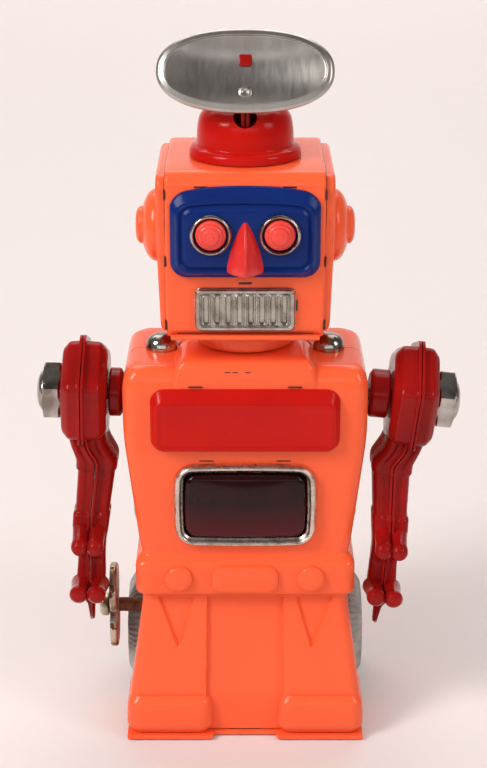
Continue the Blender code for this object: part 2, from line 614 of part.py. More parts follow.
def arm_half(side, outward):
    """One moulded half: hexagonal shoulder, limb, and two finger tips; outward is 1 or -1."""
    seam = REACH[side]
    depth = 6.2 if outward > 0 else 7.4
    solid = loft([[(side * (seam + outward * h), y, z) for y, z in hexagon(radius)]
                  for h, radius in ((0.12, 19.2), (0.9, 19.2), (1.0, 17.2), (depth - 2.0, 17.0),
                                    (depth, 14.4))])
    rings = []
    for z, shift, out_width, in_width, front, rear in LIMB:
        width = out_width if outward > 0 else in_width
        middle = seam + shift
        section = ((0.12, front), (0.62 * width, front), (width, front + 0.2 * (rear - front)),
                   (width, rear - 0.2 * (rear - front)), (0.6 * width, rear), (0.12, rear))
        rings.append([(side * (middle + outward * w), y, z) for w, y in section])
    parts = [loft(rings)]
    for y, z, root_y, root_z, radius in ((-22.0, 62.9, -12.0, 65.4, 2.4), (-22.0, 46.9, -11.0, 45.2, 2.8)):
        middle = seam - 2.4 + outward * (radius - 0.1)
        stations = []
        for share, scale in ((0.0, 1.1), (0.55, 0.9), (0.8, 0.85), (0.93, 0.98), (1.0, 1.0),
                             (1.1, 0.85), (1.18, 0.5)):
            cy = root_y + share * (y - root_y)
            cz = root_z + share * (z - root_z)
            size = scale * radius
            stations.append([(side * (middle + size * math.cos(t)), cy, cz + size * math.sin(t))
                             for t in np.linspace(0, 2 * math.pi, 9)[:-1].tolist()])
        parts.append(loft(stations))
    boolean(solid, parts, "UNION")
    trim = [(seam + outward * 0.12, 140), (seam + outward * 0.12, 95)]
    trim += [(seam + shift + outward * 0.12, z) for z, shift, *_ in LIMB if z < 92]
    trim += [(seam - 3.0 + outward * 0.12, 20), (seam + outward * 30, 20), (seam + outward * 30, 140)]
    boolean(solid, [prism([(side * x, z) for x, z in trim], "Y", -60, 60)], "INTERSECT")
    return boolean(solid, [rod(2.8, "X", SHOULDER, side * 30, side * 70)])


for side, label in ((1, "left"), (-1, "right")):
    pivot = (side * WALL_X, *SHOULDER)
    seam = REACH[side]
    for name, outward in (("arm_inner", -1), ("arm_outer", 1)):
        finish(leaned(arm_half(side, outward), side), f"{name}_{label}", "red", pivot)
    near = 37.3 if side > 0 else 36.8
    far = seam - 7.7
    spool = lathe([(2.8, side * near), (6.2, side * near), (7.4, side * (near + 0.8)),
                   (7.4, side * (far - 0.6)), (6.8, side * far), (2.8, side * far)],
                  "X", SHOULDER, 20, closed=True)
    finish(leaned(spool, side), f"arm_spool_{label}", "red", pivot)
    bolt = lathe([(2.4, side * 33.6), (2.4, side * (seam + 10.5))], "X", SHOULDER, 14)
    boolean(bolt, [rod(5.0, "X", SHOULDER, side * 33.0, side * 34.2)], "UNION")
    finish(leaned(bolt, side), f"arm_bolt_{label}", "steel", pivot)
    face = seam + 6.5
    nut = prism(hexagon(9.6), "X", side * face, side * (face + 5.4))
    turned = lathe([(8.5, side * (face - 0.1)), (9.8, side * (face + 0.7)), (9.8, side * (face + 4.4)),
                    (8.3, side * (face + 5.5))], "X", SHOULDER)
    boolean(nut, [turned], "INTERSECT")
    crown = lathe([(6.2, side * (face + 5.0)), (6.1, side * (face + 5.8)), (5.0, side * (face + 6.9)),
                   (3.0, side * (face + 7.5)), (1.0, side * (face + 7.7))], "X", SHOULDER, 16)
    boolean(nut, [crown], "UNION")
    boolean(nut, [rod(2.7, "X", SHOULDER, side * 50, side * (seam + 10.8))])
    finish(leaned(nut, side), f"hex_nut_{label}", "chrome", pivot)

for leftover in [mesh for mesh in bpy.data.meshes if mesh.users == 0]:
    bpy.data.meshes.remove(leftover)
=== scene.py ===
"""Looks of a tin wind-up robot with a radar dish, built piece by piece around its fixed mechanism."""
import math

import bmesh
import bpy
import numpy as np
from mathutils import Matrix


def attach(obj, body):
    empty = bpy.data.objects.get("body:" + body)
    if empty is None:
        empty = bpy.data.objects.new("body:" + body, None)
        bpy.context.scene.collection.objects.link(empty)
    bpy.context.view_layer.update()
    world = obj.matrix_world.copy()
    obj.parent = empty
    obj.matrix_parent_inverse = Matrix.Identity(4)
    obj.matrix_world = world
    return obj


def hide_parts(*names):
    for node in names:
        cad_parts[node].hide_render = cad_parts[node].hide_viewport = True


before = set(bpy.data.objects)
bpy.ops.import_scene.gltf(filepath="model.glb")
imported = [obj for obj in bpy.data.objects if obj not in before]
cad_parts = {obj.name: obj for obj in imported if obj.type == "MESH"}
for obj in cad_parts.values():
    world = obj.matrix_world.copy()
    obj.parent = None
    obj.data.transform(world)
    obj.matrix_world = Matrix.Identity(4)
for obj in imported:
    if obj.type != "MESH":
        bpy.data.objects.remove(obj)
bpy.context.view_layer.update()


# ------------------------------------------------------------------ studio
# A pale paper floor under soft light. The camera stands in front of the toy and a little above it,
# aimed at the middle of its height. None of this belongs to the robot.
AIM_HEIGHT = 0.1073
CAMERA_DISTANCE = 0.5472
CAMERA_TILT = math.radians(20.6)


def area_light(name, place, aim, size, power, tint=(1.0, 0.97, 0.95)):
    """Square soft light at place, turned so that its face looks at aim."""
    data = bpy.data.lights.new(name, "AREA")
    data.shape = "RECTANGLE"
    data.size, data.size_y = size
    data.energy = power
    data.color = tint
    light = bpy.data.objects.new(name, data)
    toward = np.array(aim) - np.array(place)
    yaw = math.atan2(toward[1], toward[0]) - math.pi / 2
    drop = math.atan2(math.hypot(toward[0], toward[1]), -toward[2])
    light.location = place
    light.rotation_euler = (drop, 0, yaw)
    bpy.context.scene.collection.objects.link(light)


area_light("key_softbox", (-0.75, -0.50, 0.75), (0, 0, 0.12), (0.36, 0.5), 8.2)
area_light("fill_softbox", (0.80, -0.45, 0.60), (0, 0, 0.10), (0.34, 0.5), 2.7)
area_light("top_softbox", (0, 0.46, 0.95), (0, 0, 0.10), (0.8, 0.5), 2.8)
area_light("front_card", (0, -1.3, 0.46), (0, 0, 0.2), (1.6, 0.16), 1.3)
area_light("paper_light", (0, 1.35, 1.4), (0, 1.9, 0.1), (2.4, 0.8), 18.0)

sun = bpy.data.objects.new("ceiling_glow", bpy.data.lights.new("ceiling_glow", "SUN"))
sun.data.energy = 0.95
sun.data.angle = math.radians(80)
sun.data.color = (1.0, 0.98, 0.97)
sun.rotation_euler = (math.radians(40), 0, math.radians(-10))
sun.visible_glossy = False
bpy.context.scene.collection.objects.link(sun)

room = bpy.data.worlds.new("room")
room.use_nodes = True
room.node_tree.nodes["Background"].inputs["Color"].default_value = (1.0, 0.96, 0.95, 1)
room.node_tree.nodes["Background"].inputs["Strength"].default_value = 0.15
bpy.context.scene.world = room
bpy.context.scene.view_settings.view_transform = "Standard"

camera = bpy.data.objects.new("camera", bpy.data.cameras.new("camera"))
camera.data.lens = 84.4
camera.data.sensor_width = 36
camera.location = (-0.0005, -CAMERA_DISTANCE * math.cos(CAMERA_TILT),
                   AIM_HEIGHT + CAMERA_DISTANCE * math.sin(CAMERA_TILT))
camera.rotation_euler = (math.pi / 2 - CAMERA_TILT, 0, 0)
bpy.context.scene.collection.objects.link(camera)
bpy.context.scene.camera = camera


def coating(name, colour, second, metallic=0.0, roughness=0.3, spread=0.08, patches=45, grain=900,
            relief=0.05, stretch=(1, 1, 1), gloss=0.5, worn=None, worn_above=0.74, worn_scale=160, foot=None,
            foot_from=0.0, foot_to=1.0):
    """Finish in object space: two close colours in slow patches, roughness that follows a finer
    noise, a shallow relief from the finest, worn spots where one more noise passes worn_above, and a foot
    colour that the rest takes over from between the heights foot_from and foot_to."""
    made = bpy.data.materials.new(name)
    made.use_nodes = True
    tree = made.node_tree
    shader = tree.nodes["Principled BSDF"]

    def link(source, target):
        """Join one socket to another."""
        tree.links.new(source, target)

    place = tree.nodes.new("ShaderNodeTexCoord")
    turn = tree.nodes.new("ShaderNodeMapping")
    turn.inputs["Scale"].default_value = stretch
    link(place.outputs["Object"], turn.inputs["Vector"])

    def noise(scale, detail):
        """Strength of a noise pattern in object space."""
        node = tree.nodes.new("ShaderNodeTexNoise")
        node.inputs["Scale"].default_value = scale
        node.inputs["Detail"].default_value = detail
        link(turn.outputs["Vector"], node.inputs["Vector"])
        return node.outputs["Fac"]

    def ranged(source, low, high, to_low, to_high):
        """Carry low..high over to to_low..to_high, clamped at both ends."""
        node = tree.nodes.new("ShaderNodeMapRange")
        node.inputs["From Min"].default_value = low
        node.inputs["From Max"].default_value = high
        node.inputs["To Min"].default_value = to_low
        node.inputs["To Max"].default_value = to_high
        link(source, node.inputs["Value"])
        return node.outputs["Result"]

    def blend(share, first, other):
        """Mix two colours, each a plain colour or a socket, by share."""
        node = tree.nodes.new("ShaderNodeMix")
        node.data_type = "RGBA"
        link(share, node.inputs["Factor"])
        for socket, value in ((node.inputs[6], first), (node.inputs[7], other)):
            if isinstance(value, tuple):
                socket.default_value = (*value, 1)
            else:
                link(value, socket)
        return node.outputs[2]

    colours = blend(ranged(noise(patches, 3), 0.35, 0.65, 0, 1), colour, second)
    rough = ranged(noise(grain / 3, 4), 0.3, 0.7, roughness - spread, roughness + spread)
    if foot:
        parted = tree.nodes.new("ShaderNodeSeparateXYZ")
        link(place.outputs["Object"], parted.inputs["Vector"])
        colours = blend(ranged(parted.outputs["Z"], foot_from, foot_to, 0, 1), foot, colours)
    if worn:
        spots = ranged(noise(worn_scale, 6), worn_above, worn_above + 0.02, 0, 1)
        colours = blend(spots, colours, worn)
        gate = tree.nodes.new("ShaderNodeMath")
        gate.operation = "MULTIPLY_ADD"
        gate.inputs[1].default_value = 0.3
        link(spots, gate.inputs[0])
        link(rough, gate.inputs[2])
        rough = gate.outputs[0]
    link(colours, shader.inputs["Base Color"])
    link(rough, shader.inputs["Roughness"])
    shader.inputs["Metallic"].default_value = metallic
    shader.inputs["Specular IOR Level"].default_value = gloss
    bump = tree.nodes.new("ShaderNodeBump")
    bump.inputs["Strength"].default_value = relief
    bump.inputs["Distance"].default_value = 0.0003
    link(noise(grain, 5), bump.inputs["Height"])
    link(bump.outputs["Normal"], shader.inputs["Normal"])
    return made


paper = coating("floor_paper", (0.755, 0.695, 0.68), (0.765, 0.705, 0.69), roughness=0.75, patches=2,
                grain=200, relief=0.02)
bend = np.linspace(0, math.pi / 2, 17)
sweep_y = np.concatenate([[-3.0, 0.0], 1.3 + 1.1 * np.sin(bend), [2.4]])
sweep_z = np.concatenate([[0.0, 0.0], 1.1 - 1.1 * np.cos(bend), [3.0]])
edges = np.stack([np.stack([np.full(len(sweep_y), x), sweep_y, sweep_z], -1) for x in (-4.0, 4.0)])
floor_mesh = bpy.data.meshes.new("floor")
count = len(sweep_y)
floor_mesh.from_pydata(edges.reshape(-1, 3).tolist(), [],
                       [(i, i + count, i + count + 1, i + 1) for i in range(count - 1)])
floor_mesh.shade_smooth()
floor_mesh.materials.append(paper)
floor = bpy.data.objects.new("floor", floor_mesh)
bpy.context.scene.collection.objects.link(floor)


# ------------------------------------------------------------------ torso pressings
# The body is two deep tin pressings, front and back, joined on a seam at the sides: a flared skirt
# with toe caps, a raised belt, and a chest that widens to square shoulders with a raised yoke.
MM = 0.001                       # metres per millimetre; solid() takes millimetres
SEAM = 0.22                      # half the gap between the front and rear pressings
TIN = 0.8                        # thickness of the pressed tin
WHEEL_Y, WHEEL_Z = 14.0, 18.5
WELL_X, WELL_RADIUS = 30.6, 20.3
BODY_ROWS = [                    # z, half width, front y, rear y, edge radius, easing of the row
    (2.2, 35.6, -26.4, 24.0, 3.0, 0),
    (14.0, 35.5, -26.0, 24.0, 3.0, 2.0),
    (45.6, 31.1, -19.6, 21.5, 3.0, 0.8),
    (47.4, 33.3, -22.4, 21.7, 3.4, 1.2),
    (57.3, 33.3, -22.4, 21.7, 3.4, 1.6),
    (59.4, 31.4, -19.5, 21.5, 3.2, 1.0),
    (62.0, 32.0, -19.5, 21.5, 3.2, 1.5),
    (97.0, 36.3, -19.5, 21.5, 4.0, 5.0),
    (113.6, 36.3, -19.5, 21.5, 4.0, 2.6),
    (117.6, 35.0, -18.2, 20.6, 4.0, 2.2),
    (119.0, 32.6, -15.8, 18.6, 4.0, 0),
]


def eased(rows, steps=6, closed=False):
    """Rows of numbers, the last of each its easing. Each corner P becomes the parabola
    (1-t)^2 A + 2t(1-t) P + t^2 B, where A and B lie that far from P towards its neighbours."""
    rows = np.array(rows, float)
    points, radii = rows[:, :-1], rows[:, -1]
    t = np.linspace(0, 1, steps + 1)[:, None]
    line = []
    for i, (corner, radius) in enumerate(zip(points, radii)):
        if radius == 0 or (not closed and i in (0, len(points) - 1)):
            line.append(corner[None])
            continue
        before, after = points[i - 1], points[(i + 1) % len(points)]
        ends = []
        for other in (before, after):
            length = np.linalg.norm(other - corner)
            ends.append(corner + (other - corner) * min(radius / length, 0.48))
        line.append((1 - t) ** 2 * ends[0] + 2 * t * (1 - t) * corner + t ** 2 * ends[1])
    return np.concatenate(line)


def surface(rows, around=True, join=False, caps=True):
    """Points and faces of a grid (rows, columns, 3): quads between neighbours, each row closed into
    a ring by around, the last row joined to the first by join, and flat end faces by caps."""
    rows = np.asarray(rows, float)
    index = np.arange(rows.shape[0] * rows.shape[1]).reshape(rows.shape[:2])
    grid = np.vstack([index, index[:1]]) if join else index
    grid = np.hstack([grid, grid[:, :1]]) if around else grid
    quads = np.stack([grid[:-1, :-1], grid[:-1, 1:], grid[1:, 1:], grid[1:, :-1]], -1).reshape(-1, 4)
    faces = quads.tolist()
    if caps and around and not join:
        faces += [index[0].tolist(), index[-1].tolist()]
    return rows.reshape(-1, 3), faces


def solid(name, parts, sharp=38, wall=0.0):
    """Object from parts in millimetres, faces turned outwards, smooth but for edges over sharp
    degrees; wall gives open sheets that thickness on their inside."""
    mesh = bpy.data.meshes.new(name)
    points, faces, start = [], [], 0
    for spots, loops in parts:
        points.append(spots)
        faces += [[corner + start for corner in loop] for loop in loops]
        start += len(spots)
    mesh.from_pydata((np.concatenate(points) * MM).tolist(), [], faces)
    work = bmesh.new()
    work.from_mesh(mesh)
    bmesh.ops.remove_doubles(work, verts=work.verts, dist=1e-7)
    bmesh.ops.recalc_face_normals(work, faces=work.faces)
    work.to_mesh(mesh)
    work.free()
    made = bpy.data.objects.new(name, mesh)
    bpy.context.scene.collection.objects.link(made)
    if wall:
        sheet = made.modifiers.new("sheet", "SOLIDIFY")
        sheet.thickness = wall * MM
        sheet.offset = -1
        settle(made)
    smooth(made, sharp)
    return made


def settle(made):
    """The modifiers' result becomes the object's own mesh."""
    graph = bpy.context.evaluated_depsgraph_get()
    mesh = bpy.data.meshes.new_from_object(made.evaluated_get(graph))
    made.modifiers.clear()
    made.data = mesh


def smooth(made, sharp):
    """Shade round, but keep edges over sharp degrees crisp."""
    made.data.shade_smooth()
    made.data.set_sharp_from_angle(angle=math.radians(sharp))


def cut(made, tools, sharp=38):
    """Take the space of the tools out of the object; the tools are thrown away."""
    for tool in tools:
        change = made.modifiers.new("cut", "BOOLEAN")
        change.operation = "DIFFERENCE"
        change.solver = "EXACT"
        change.object = tool
    settle(made)
    for tool in tools:
        bpy.data.objects.remove(tool)
    smooth(made, sharp)


def fit(made, body, material, *nodes):
    """Give the piece its finish, let it ride on its body, and let it stand for its CAD nodes."""
    made.data.materials.clear()
    made.data.materials.append(material)
    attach(made, body)
    if nodes:
        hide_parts(*nodes)
    return made


def turned(profile, axis, centre, steps=72, join=False, caps=True, lobes=0, lobe_depth=0.0):
    """Profile rows (radius, place along the axis, easing) carried round the axis; lobes scallops
    the radius with that many shallow waves."""
    line = eased(profile, 6, join)
    angle = np.linspace(0, 2 * math.pi, steps, endpoint=False)
    radius = line[:, :1] * (1 + lobe_depth * np.cos(lobes * angle))
    u = centre[0] + radius * np.cos(angle)
    v = centre[1] + radius * np.sin(angle)
    h = np.repeat(line[:, 1:], steps, 1)
    order = {"X": (h, u, v), "Y": (u, h, v), "Z": (u, v, h)}[axis]
    return surface(np.stack(order, -1), join=join, caps=caps)


def stacked(rows, axis, sides=1, steps=8, join=False, caps=True):
    """Rows (place, u low, u high, v low, v high, corner radius, easing): rounded rectangles
    stacked along the axis, each side of them divided into the given number of stretches."""
    line = eased(rows, 5, join)
    quarter = np.linspace(0, math.pi / 2, steps)
    run = np.linspace(0, 1, sides + 1)[1:-1]
    arc_u, arc_v, corner_u, corner_v = [], [], [], []
    for side in range(4):
        arc_u.append(np.cos(quarter + side * math.pi / 2))
        arc_v.append(np.sin(quarter + side * math.pi / 2))
        here = ((1, 1), (0, 1), (0, 0), (1, 0))[side]
        after = ((0, 1), (0, 0), (1, 0), (1, 1))[side]
        corner_u.append(np.full(steps, here[0]))
        corner_v.append(np.full(steps, here[1]))
        arc_u.append(np.full(len(run), math.cos((side + 1) * math.pi / 2)))
        arc_v.append(np.full(len(run), math.sin((side + 1) * math.pi / 2)))
        corner_u.append(here[0] + run * (after[0] - here[0]))
        corner_v.append(here[1] + run * (after[1] - here[1]))
    arc_u, arc_v = np.concatenate(arc_u), np.concatenate(arc_v)
    corner_u, corner_v = np.concatenate(corner_u), np.concatenate(corner_v)
    h, u0, u1, v0, v1, radius = (line[:, i:i + 1] for i in range(6))
    u = u0 + radius + corner_u * (u1 - u0 - 2 * radius) + radius * arc_u
    v = v0 + radius + corner_v * (v1 - v0 - 2 * radius) + radius * arc_v
    h = np.repeat(h, u.shape[1], 1)
    order = {"X": (h, u, v), "Y": (u, h, v), "Z": (u, v, h)}[axis]
    return surface(np.stack(order, -1), join=join, caps=caps)


def step_up(value, width):
    """0 below 0, 1 above width, and a smooth S between."""
    t = np.clip(value / width, 0, 1)
    return t * t * (3 - 2 * t)


def pressed_lines(x, z):
    """Depth of the skirt's pressed lines: a sunk centre panel whose creases spread downwards, and
    a pointed pleat on each side of it, as the least distance inside three slanting edges."""
    crease = 11.7 + 0.6 * (46 - z) / 44
    panel = step_up(crease - np.abs(x), 0.55) * step_up(45.4 - z, 0.8)
    inner = (np.abs(x) - 15.2 - (46 - z) * 0.292) * 0.960
    outer = (27.0 - (46 - z) * 0.371 - np.abs(x)) * 0.938
    pleat = step_up(inner, 0.6) * step_up(outer, 0.6) * step_up(45.4 - z, 0.7)
    return 1.4 * panel + 1.2 * pleat


def half_body(facing):
    """Half of the body as one sheet. Round the outline x = s (w - R) + c R, y from the seam to the
    face, with s and c the place along a side or arc; up the rows the sizes follow the eased
    section table, and past the last row the points draw in to the seam and close the top."""
    line = eased(BODY_ROWS, 6)
    height = np.unique(np.concatenate([line[:, 0], np.arange(2.2, 119, 1.0),
                                       np.arange(25, 47, 0.4)]))
    width, front, rear, corner = (np.interp(height, line[:, 0], line[:, i])[:, None] for i in range(1, 5))
    face = -front if facing < 0 else rear
    arc = np.linspace(0, math.pi / 2, 9)
    flat = np.linspace(1, -1, 151 if facing < 0 else 41)[1:-1]
    along = np.concatenate([np.zeros(7), arc, np.full(len(flat), math.pi / 2), math.pi - arc[::-1],
                            np.full(7, math.pi)])
    share = np.concatenate([np.linspace(0, 1, 8)[:-1], np.ones(18 + len(flat)), np.linspace(1, 0, 8)[1:]])
    across = np.concatenate([np.ones(16), flat, -np.ones(16)])
    x = across * (width - corner) + np.cos(along) * corner
    y = SEAM * (1 - share) + share * (face - corner) + np.sin(along) * corner
    z = np.repeat(height[:, None], x.shape[1], 1)
    if facing < 0:
        on_face = np.sin(along) > 0.999
        y = y - pressed_lines(x, z) * on_face
    inward = np.linspace(0, 1, 9)[1:, None]
    top_x = x[-1] * (1 - 0.3 * inward)
    top_y = y[-1] * (1 - inward) + SEAM * inward
    top_z = np.full(top_x.shape, 119.0)
    x, y, z = np.vstack([x, top_x]), np.vstack([y, top_y]), np.vstack([z, top_z])
    return surface(np.stack([x, facing * y, z], -1), around=False)


def yoke_half(facing):
    """Raised saddle between the shoulders: its ends slope and its outer edge is rounded; in front it
    runs flush down the chest."""
    if facing < 0:
        far = 19.75
        steps = ((112.4, 21.6, 0.35, 1.2, 0), (115.6, 21.2, 0, 1.4, 1.0), (119.3, 20.4, 0, 2.0, 0.8),
                 (121.4, 18.9, 0.9, 2.2, 1.0), (122.0, 17.2, 3.0, 2.0, 0))
    else:
        far = 17.8
        steps = ((118.4, 20.9, 0, 2.6, 0), (119.2, 20.3, 0.1, 2.6, 0.6), (121.5, 18.7, 0.6, 2.4, 0.9),
                 (122.0, 17.2, 2.0, 2.0, 0))
    rows = []
    for z, half, back, corner, ease in steps:
        y0, y1 = sorted((facing * SEAM, facing * (far - back)))
        rows.append((z, -half, half, y0, y1, corner, ease))
    return stacked(rows, "Z")


def well_disc(side):
    """Inner wall of a wheel well, in polar form about the axle: from the axle hole out to the
    least of the well's radius and the distances to the sill and to the back of the body."""
    angle = np.linspace(-math.pi, math.pi, 97)[:-1]
    down = np.where(np.sin(angle) < -0.01, (WHEEL_Z - 2.6) / np.maximum(-np.sin(angle), 0.01), 99)
    back = np.where(np.cos(angle) > 0.01, (23.0 - WHEEL_Y) / np.maximum(np.cos(angle), 0.01), 99)
    limit = np.minimum(np.minimum(WELL_RADIUS + 0.1, down), back)
    rows = []
    for radius, place in ((0, 0.05), (1, 0.05), (1, 0.75), (0, 0.75)):
        reach = 2.2 + radius * (limit - 2.2)
        rows.append(np.stack([np.full(96, side * (WELL_X - place)), WHEEL_Y + reach * np.cos(angle),
                              WHEEL_Z + reach * np.sin(angle)], -1))
    return surface(rows, join=True)


ORANGE = coating("orange_enamel", (0.93, 0.114, 0.034), (0.92, 0.120, 0.038), roughness=0.20, spread=0.05,
                 relief=0.012, gloss=0.32, worn=(0.045, 0.02, 0.015), worn_above=0.765, worn_scale=120)
toe_rows = []
for z, back, ease in ((2.2, 1.7, 0), (4.4, 0.1, 1.4), (12.4, 0.4, 1.9), (14.5, 2.2, 0)):
    toe_rows.append((z, 9.7 + back, 36.7 - back, -29.0 + back, -7.0 - back * 0.3, 3.9 - back * 0.5, ease))
front_parts = [half_body(-1), yoke_half(-1)]
for side in (-1, 1):
    mirrored = []
    for z, x0, x1, y0, y1, corner, ease in toe_rows:
        low, high = sorted((side * x0, side * x1))
        mirrored.append((z, low, high, y0, y1, corner, ease))
    front_parts.append(stacked(mirrored, "Z"))
    front_parts.append(turned([(4.3, -22.1, 0), (4.15, -23.6, 0.5), (3.2, -24.2, 0.7), (0.4, -24.4, 0)],
                              "Y", (side * 20, 52.8)))
belt_pad = [(-22.1, -10.2, 10.2, 48.0, 57.2, 3.2, 0), (-23.6, -10.0, 10.0, 48.2, 57.0, 3.1, 0.5),
            (-24.2, -9.0, 9.0, 49.2, 56.0, 2.4, 0.7), (-24.4, -6.4, 6.4, 51.8, 53.4, 0.6, 0)]
front_parts.append(stacked(belt_pad, "Y"))


def well_cutters():
    """Round plugs that cut the wheel wells out of both sides."""
    return [solid("well_cutter", [turned([(WELL_RADIUS, side * WELL_X, 0), (WELL_RADIUS, side * 44, 0)],
                                         "X", (WHEEL_Y, WHEEL_Z), 96)]) for side in (-1, 1)]


front = solid("front_pressing", front_parts[:1], wall=TIN)
opening = solid("opening_cutter", [stacked([(-24, -18.6, 18.6, 64.1, 87.7, 3, 0),
                                            (-15, -18.6, 18.6, 64.1, 87.7, 3, 0)], "Y")])
cut(front, well_cutters() + [opening])
fit(front, "casing", ORANGE, "front_shell")
fit(solid("front_trim", front_parts[1:]), "casing", ORANGE)

rear = solid("rear_pressing", [half_body(1)], wall=TIN)
cut(rear, well_cutters())
fit(rear, "casing", ORANGE, "rear_shell")
rear_trim = solid("rear_trim", [yoke_half(1)] + [well_disc(side) for side in (-1, 1)])
fit(rear_trim, "casing", ORANGE)


# ------------------------------------------------------------------ base, shoulder domes, cylinders
# A flat tin plate closes the body underneath. Two plated domes cap the shoulder studs, and two bare
# metal cylinders stand against the back of the chest.
CHROME = coating("chrome_plate", (0.56, 0.53, 0.49), (0.24, 0.20, 0.17), metallic=1.0, roughness=0.17,
                 spread=0.07, patches=160, grain=1400, relief=0.05, worn=(0.10, 0.06, 0.04),
                 worn_above=0.70, worn_scale=260)
BARE_TIN = coating("bare_tin", (0.34, 0.32, 0.30), (0.20, 0.18, 0.17), metallic=1.0, roughness=0.38,
                   patches=120, relief=0.06)
DOME_X = 25.2
TANK_X, TANK_Y = 31.2, 27.2
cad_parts["base_plate"].data.materials[0] = ORANGE

for side, label in ((1, "left"), (-1, "right")):
    dome = [(4.75, 119.1, 0), (4.75, 120.0, 0.4), (4.1, 122.2, 1.3), (2.1, 123.5, 1.2), (0.3, 123.6, 0)]
    fit(solid(f"stud_dome_{label}", [turned(dome, "Z", (side * DOME_X, 0))]), "casing", CHROME,
        f"shoulder_dome_{label}")
    tank = [(0.4, 47.7, 0), (3.6, 48.3, 1.6), (5.2, 51.4, 1.8), (5.2, 103.6, 1.8), (3.6, 106.7, 1.6),
            (0.4, 107.3, 0)]
    bands = [turned([(5.1, z - 1.1, 0), (5.45, z - 0.8, 0.2), (5.45, z + 0.8, 0.2), (5.1, z + 1.1, 0)],
                    "Z", (side * TANK_X, TANK_Y)) for z in (58, 97)]
    fit(solid(f"back_cylinder_{label}", [turned(tank, "Z", (side * TANK_X, TANK_Y))] + bands), "casing",
        BARE_TIN, f"air_cylinder_{label}")


# ------------------------------------------------------------------ chest panel and window
# The red panel is a pressed tin tray tabbed through the chest. Below it a nickel frame holds a
# block of dark red clear plastic, behind which the spark wheel throws its sparks.
RED = coating("red_enamel", (0.51, 0.007, 0.004), (0.47, 0.006, 0.004), roughness=0.18, spread=0.05,
              relief=0.012, gloss=0.16, worn=(0.10, 0.02, 0.015), worn_above=0.77, worn_scale=140)
NICKEL = coating("aged_nickel", (0.80, 0.72, 0.64), (0.54, 0.46, 0.38), metallic=1.0, roughness=0.30,
                 spread=0.10, patches=220, grain=1600, relief=0.10, worn=(0.13, 0.09, 0.06),
                 worn_above=0.66, worn_scale=420)
# painted light: the foot colour paints the block a lighter red towards its bottom
WINE = coating("wine_plastic", (0.012, 0.002, 0.002), (0.020, 0.003, 0.003), roughness=0.10, spread=0.03,
               patches=70, relief=0.008, gloss=0.25, foot=(0.085, 0.005, 0.009), foot_from=0.0655,
               foot_to=0.0775)


def tray(z_middle, half_x, half_z, corner, steps):
    """Rows of a pressed tray facing forwards, from steps of (y, insets at the sides, the top and the
    bottom, easing)."""
    rows = []
    for y, side_in, top_in, low_in, ease in steps:
        rows.append((y, -half_x + side_in, half_x - side_in, z_middle - half_z + low_in,
                     z_middle + half_z - top_in, max(corner - side_in, 0.5), ease))
    return rows


def bowed(part, z_middle, half_x, half_z, out_x, out_z, bulge):
    """Bow a tray's sides by out_x (1 - v^2) and out_z (1 - u^2), and its face by bulge times both."""
    spots, loops = part
    u, v = spots[:, 0] / half_x, (spots[:, 2] - z_middle) / half_z
    round_u, round_v = np.maximum(1 - u * u, 0), np.maximum(1 - v * v, 0)
    return np.stack([spots[:, 0] + out_x * u * round_v, spots[:, 1] - bulge * round_u * round_v,
                     spots[:, 2] + out_z * v * round_u], -1), loops


def evenly(steps):
    """Steps of (y, inset, easing) with that one inset on every side."""
    return [(y, inset, inset, inset, ease) for y, inset, ease in steps]


panel = tray(103.15, 28.0, 9.85, 4.2, ((-19.6, 0, 0, 0, 0), (-20.0, 0.05, 0.1, 0.05, 0.2),
                                       (-22.6, 1.5, 3.0, 1.3, 0.45), (-22.8, 2.4, 4.0, 2.2, 0.3),
                                       (-22.6, 3.2, 4.8, 3.0, 0)))
fit(solid("red_panel", [stacked(panel, "Y", sides=6)], sharp=50), "casing", RED, "chest_panel")

FRAME_SHAPE = (76.2, 20.6, 12.9)     # middle height, half width, half height
rolled = evenly(((-19.8, 0, 0.1), (-21.3, 0.1, 0.6), (-22.1, 0.8, 0.5), (-21.9, 1.5, 0.3),
                 (-21.0, 2.1, 0.3), (-20.6, 2.6, 0.2), (-19.8, 2.6, 0.1)))
bezel = stacked(tray(*FRAME_SHAPE, 5.0, rolled), "Y", sides=12, join=True)
fit(solid("window_frame", [bowed(bezel, *FRAME_SHAPE, 0.75, 0.5, 0)]), "casing", NICKEL, "window_bezel")

LENS_SHAPE = (76.0, 17.8, 10.1)
crowned = evenly(((-18.9, 0, 0), (-20.7, 0.1, 0.9), (-21.4, 1.3, 1.0), (-21.5, 3.2, 0), (-21.5, 5.2, 0),
                  (-21.5, 7.2, 0), (-21.5, 9.4, 0)))
lens = stacked(tray(*LENS_SHAPE, 3.4, crowned), "Y", sides=12)
fit(solid("window_block", [bowed(lens, *LENS_SHAPE, 0.5, 0.3, 1.3)], sharp=60), "casing", WINE,
    "window_lens")


# ------------------------------------------------------------------ neck and head box
# The neck is a spun disc. The head is one strip of tin folded into a box with a rolled lip under
# its front, closed by a tray on each side; domed ears are fixed to the trays.
neck = [(14.0, 122.3, 0), (15.2, 122.9, 0.7), (15.2, 126.8, 1.0), (13.6, 128.2, 1.2), (2.0, 128.2, 0)]
fit(solid("neck_turning", [turned(neck, "Z", (0, 0))]), "casing", ORANGE, "neck_disc")

HEAD_Y, HEAD_Z = 2.0, 153.7
strip = []
for x, inset, ease in ((-22.7, 0.7, 0), (-22.3, 0.1, 0.5), (-21.0, 0, 0.5), (21.0, 0, 0.5),
                       (22.3, 0.1, 0.5), (22.7, 0.7, 0)):
    strip.append((x, HEAD_Y - 24.0 + inset, HEAD_Y + 24.0 - inset, HEAD_Z - 24.7 + inset,
                  HEAD_Z + 24.7 - inset, 4.2, ease))
fit(solid("head_strip", [stacked(strip, "X", sides=4, caps=False)], wall=TIN), "casing", ORANGE,
    "head_wrap")

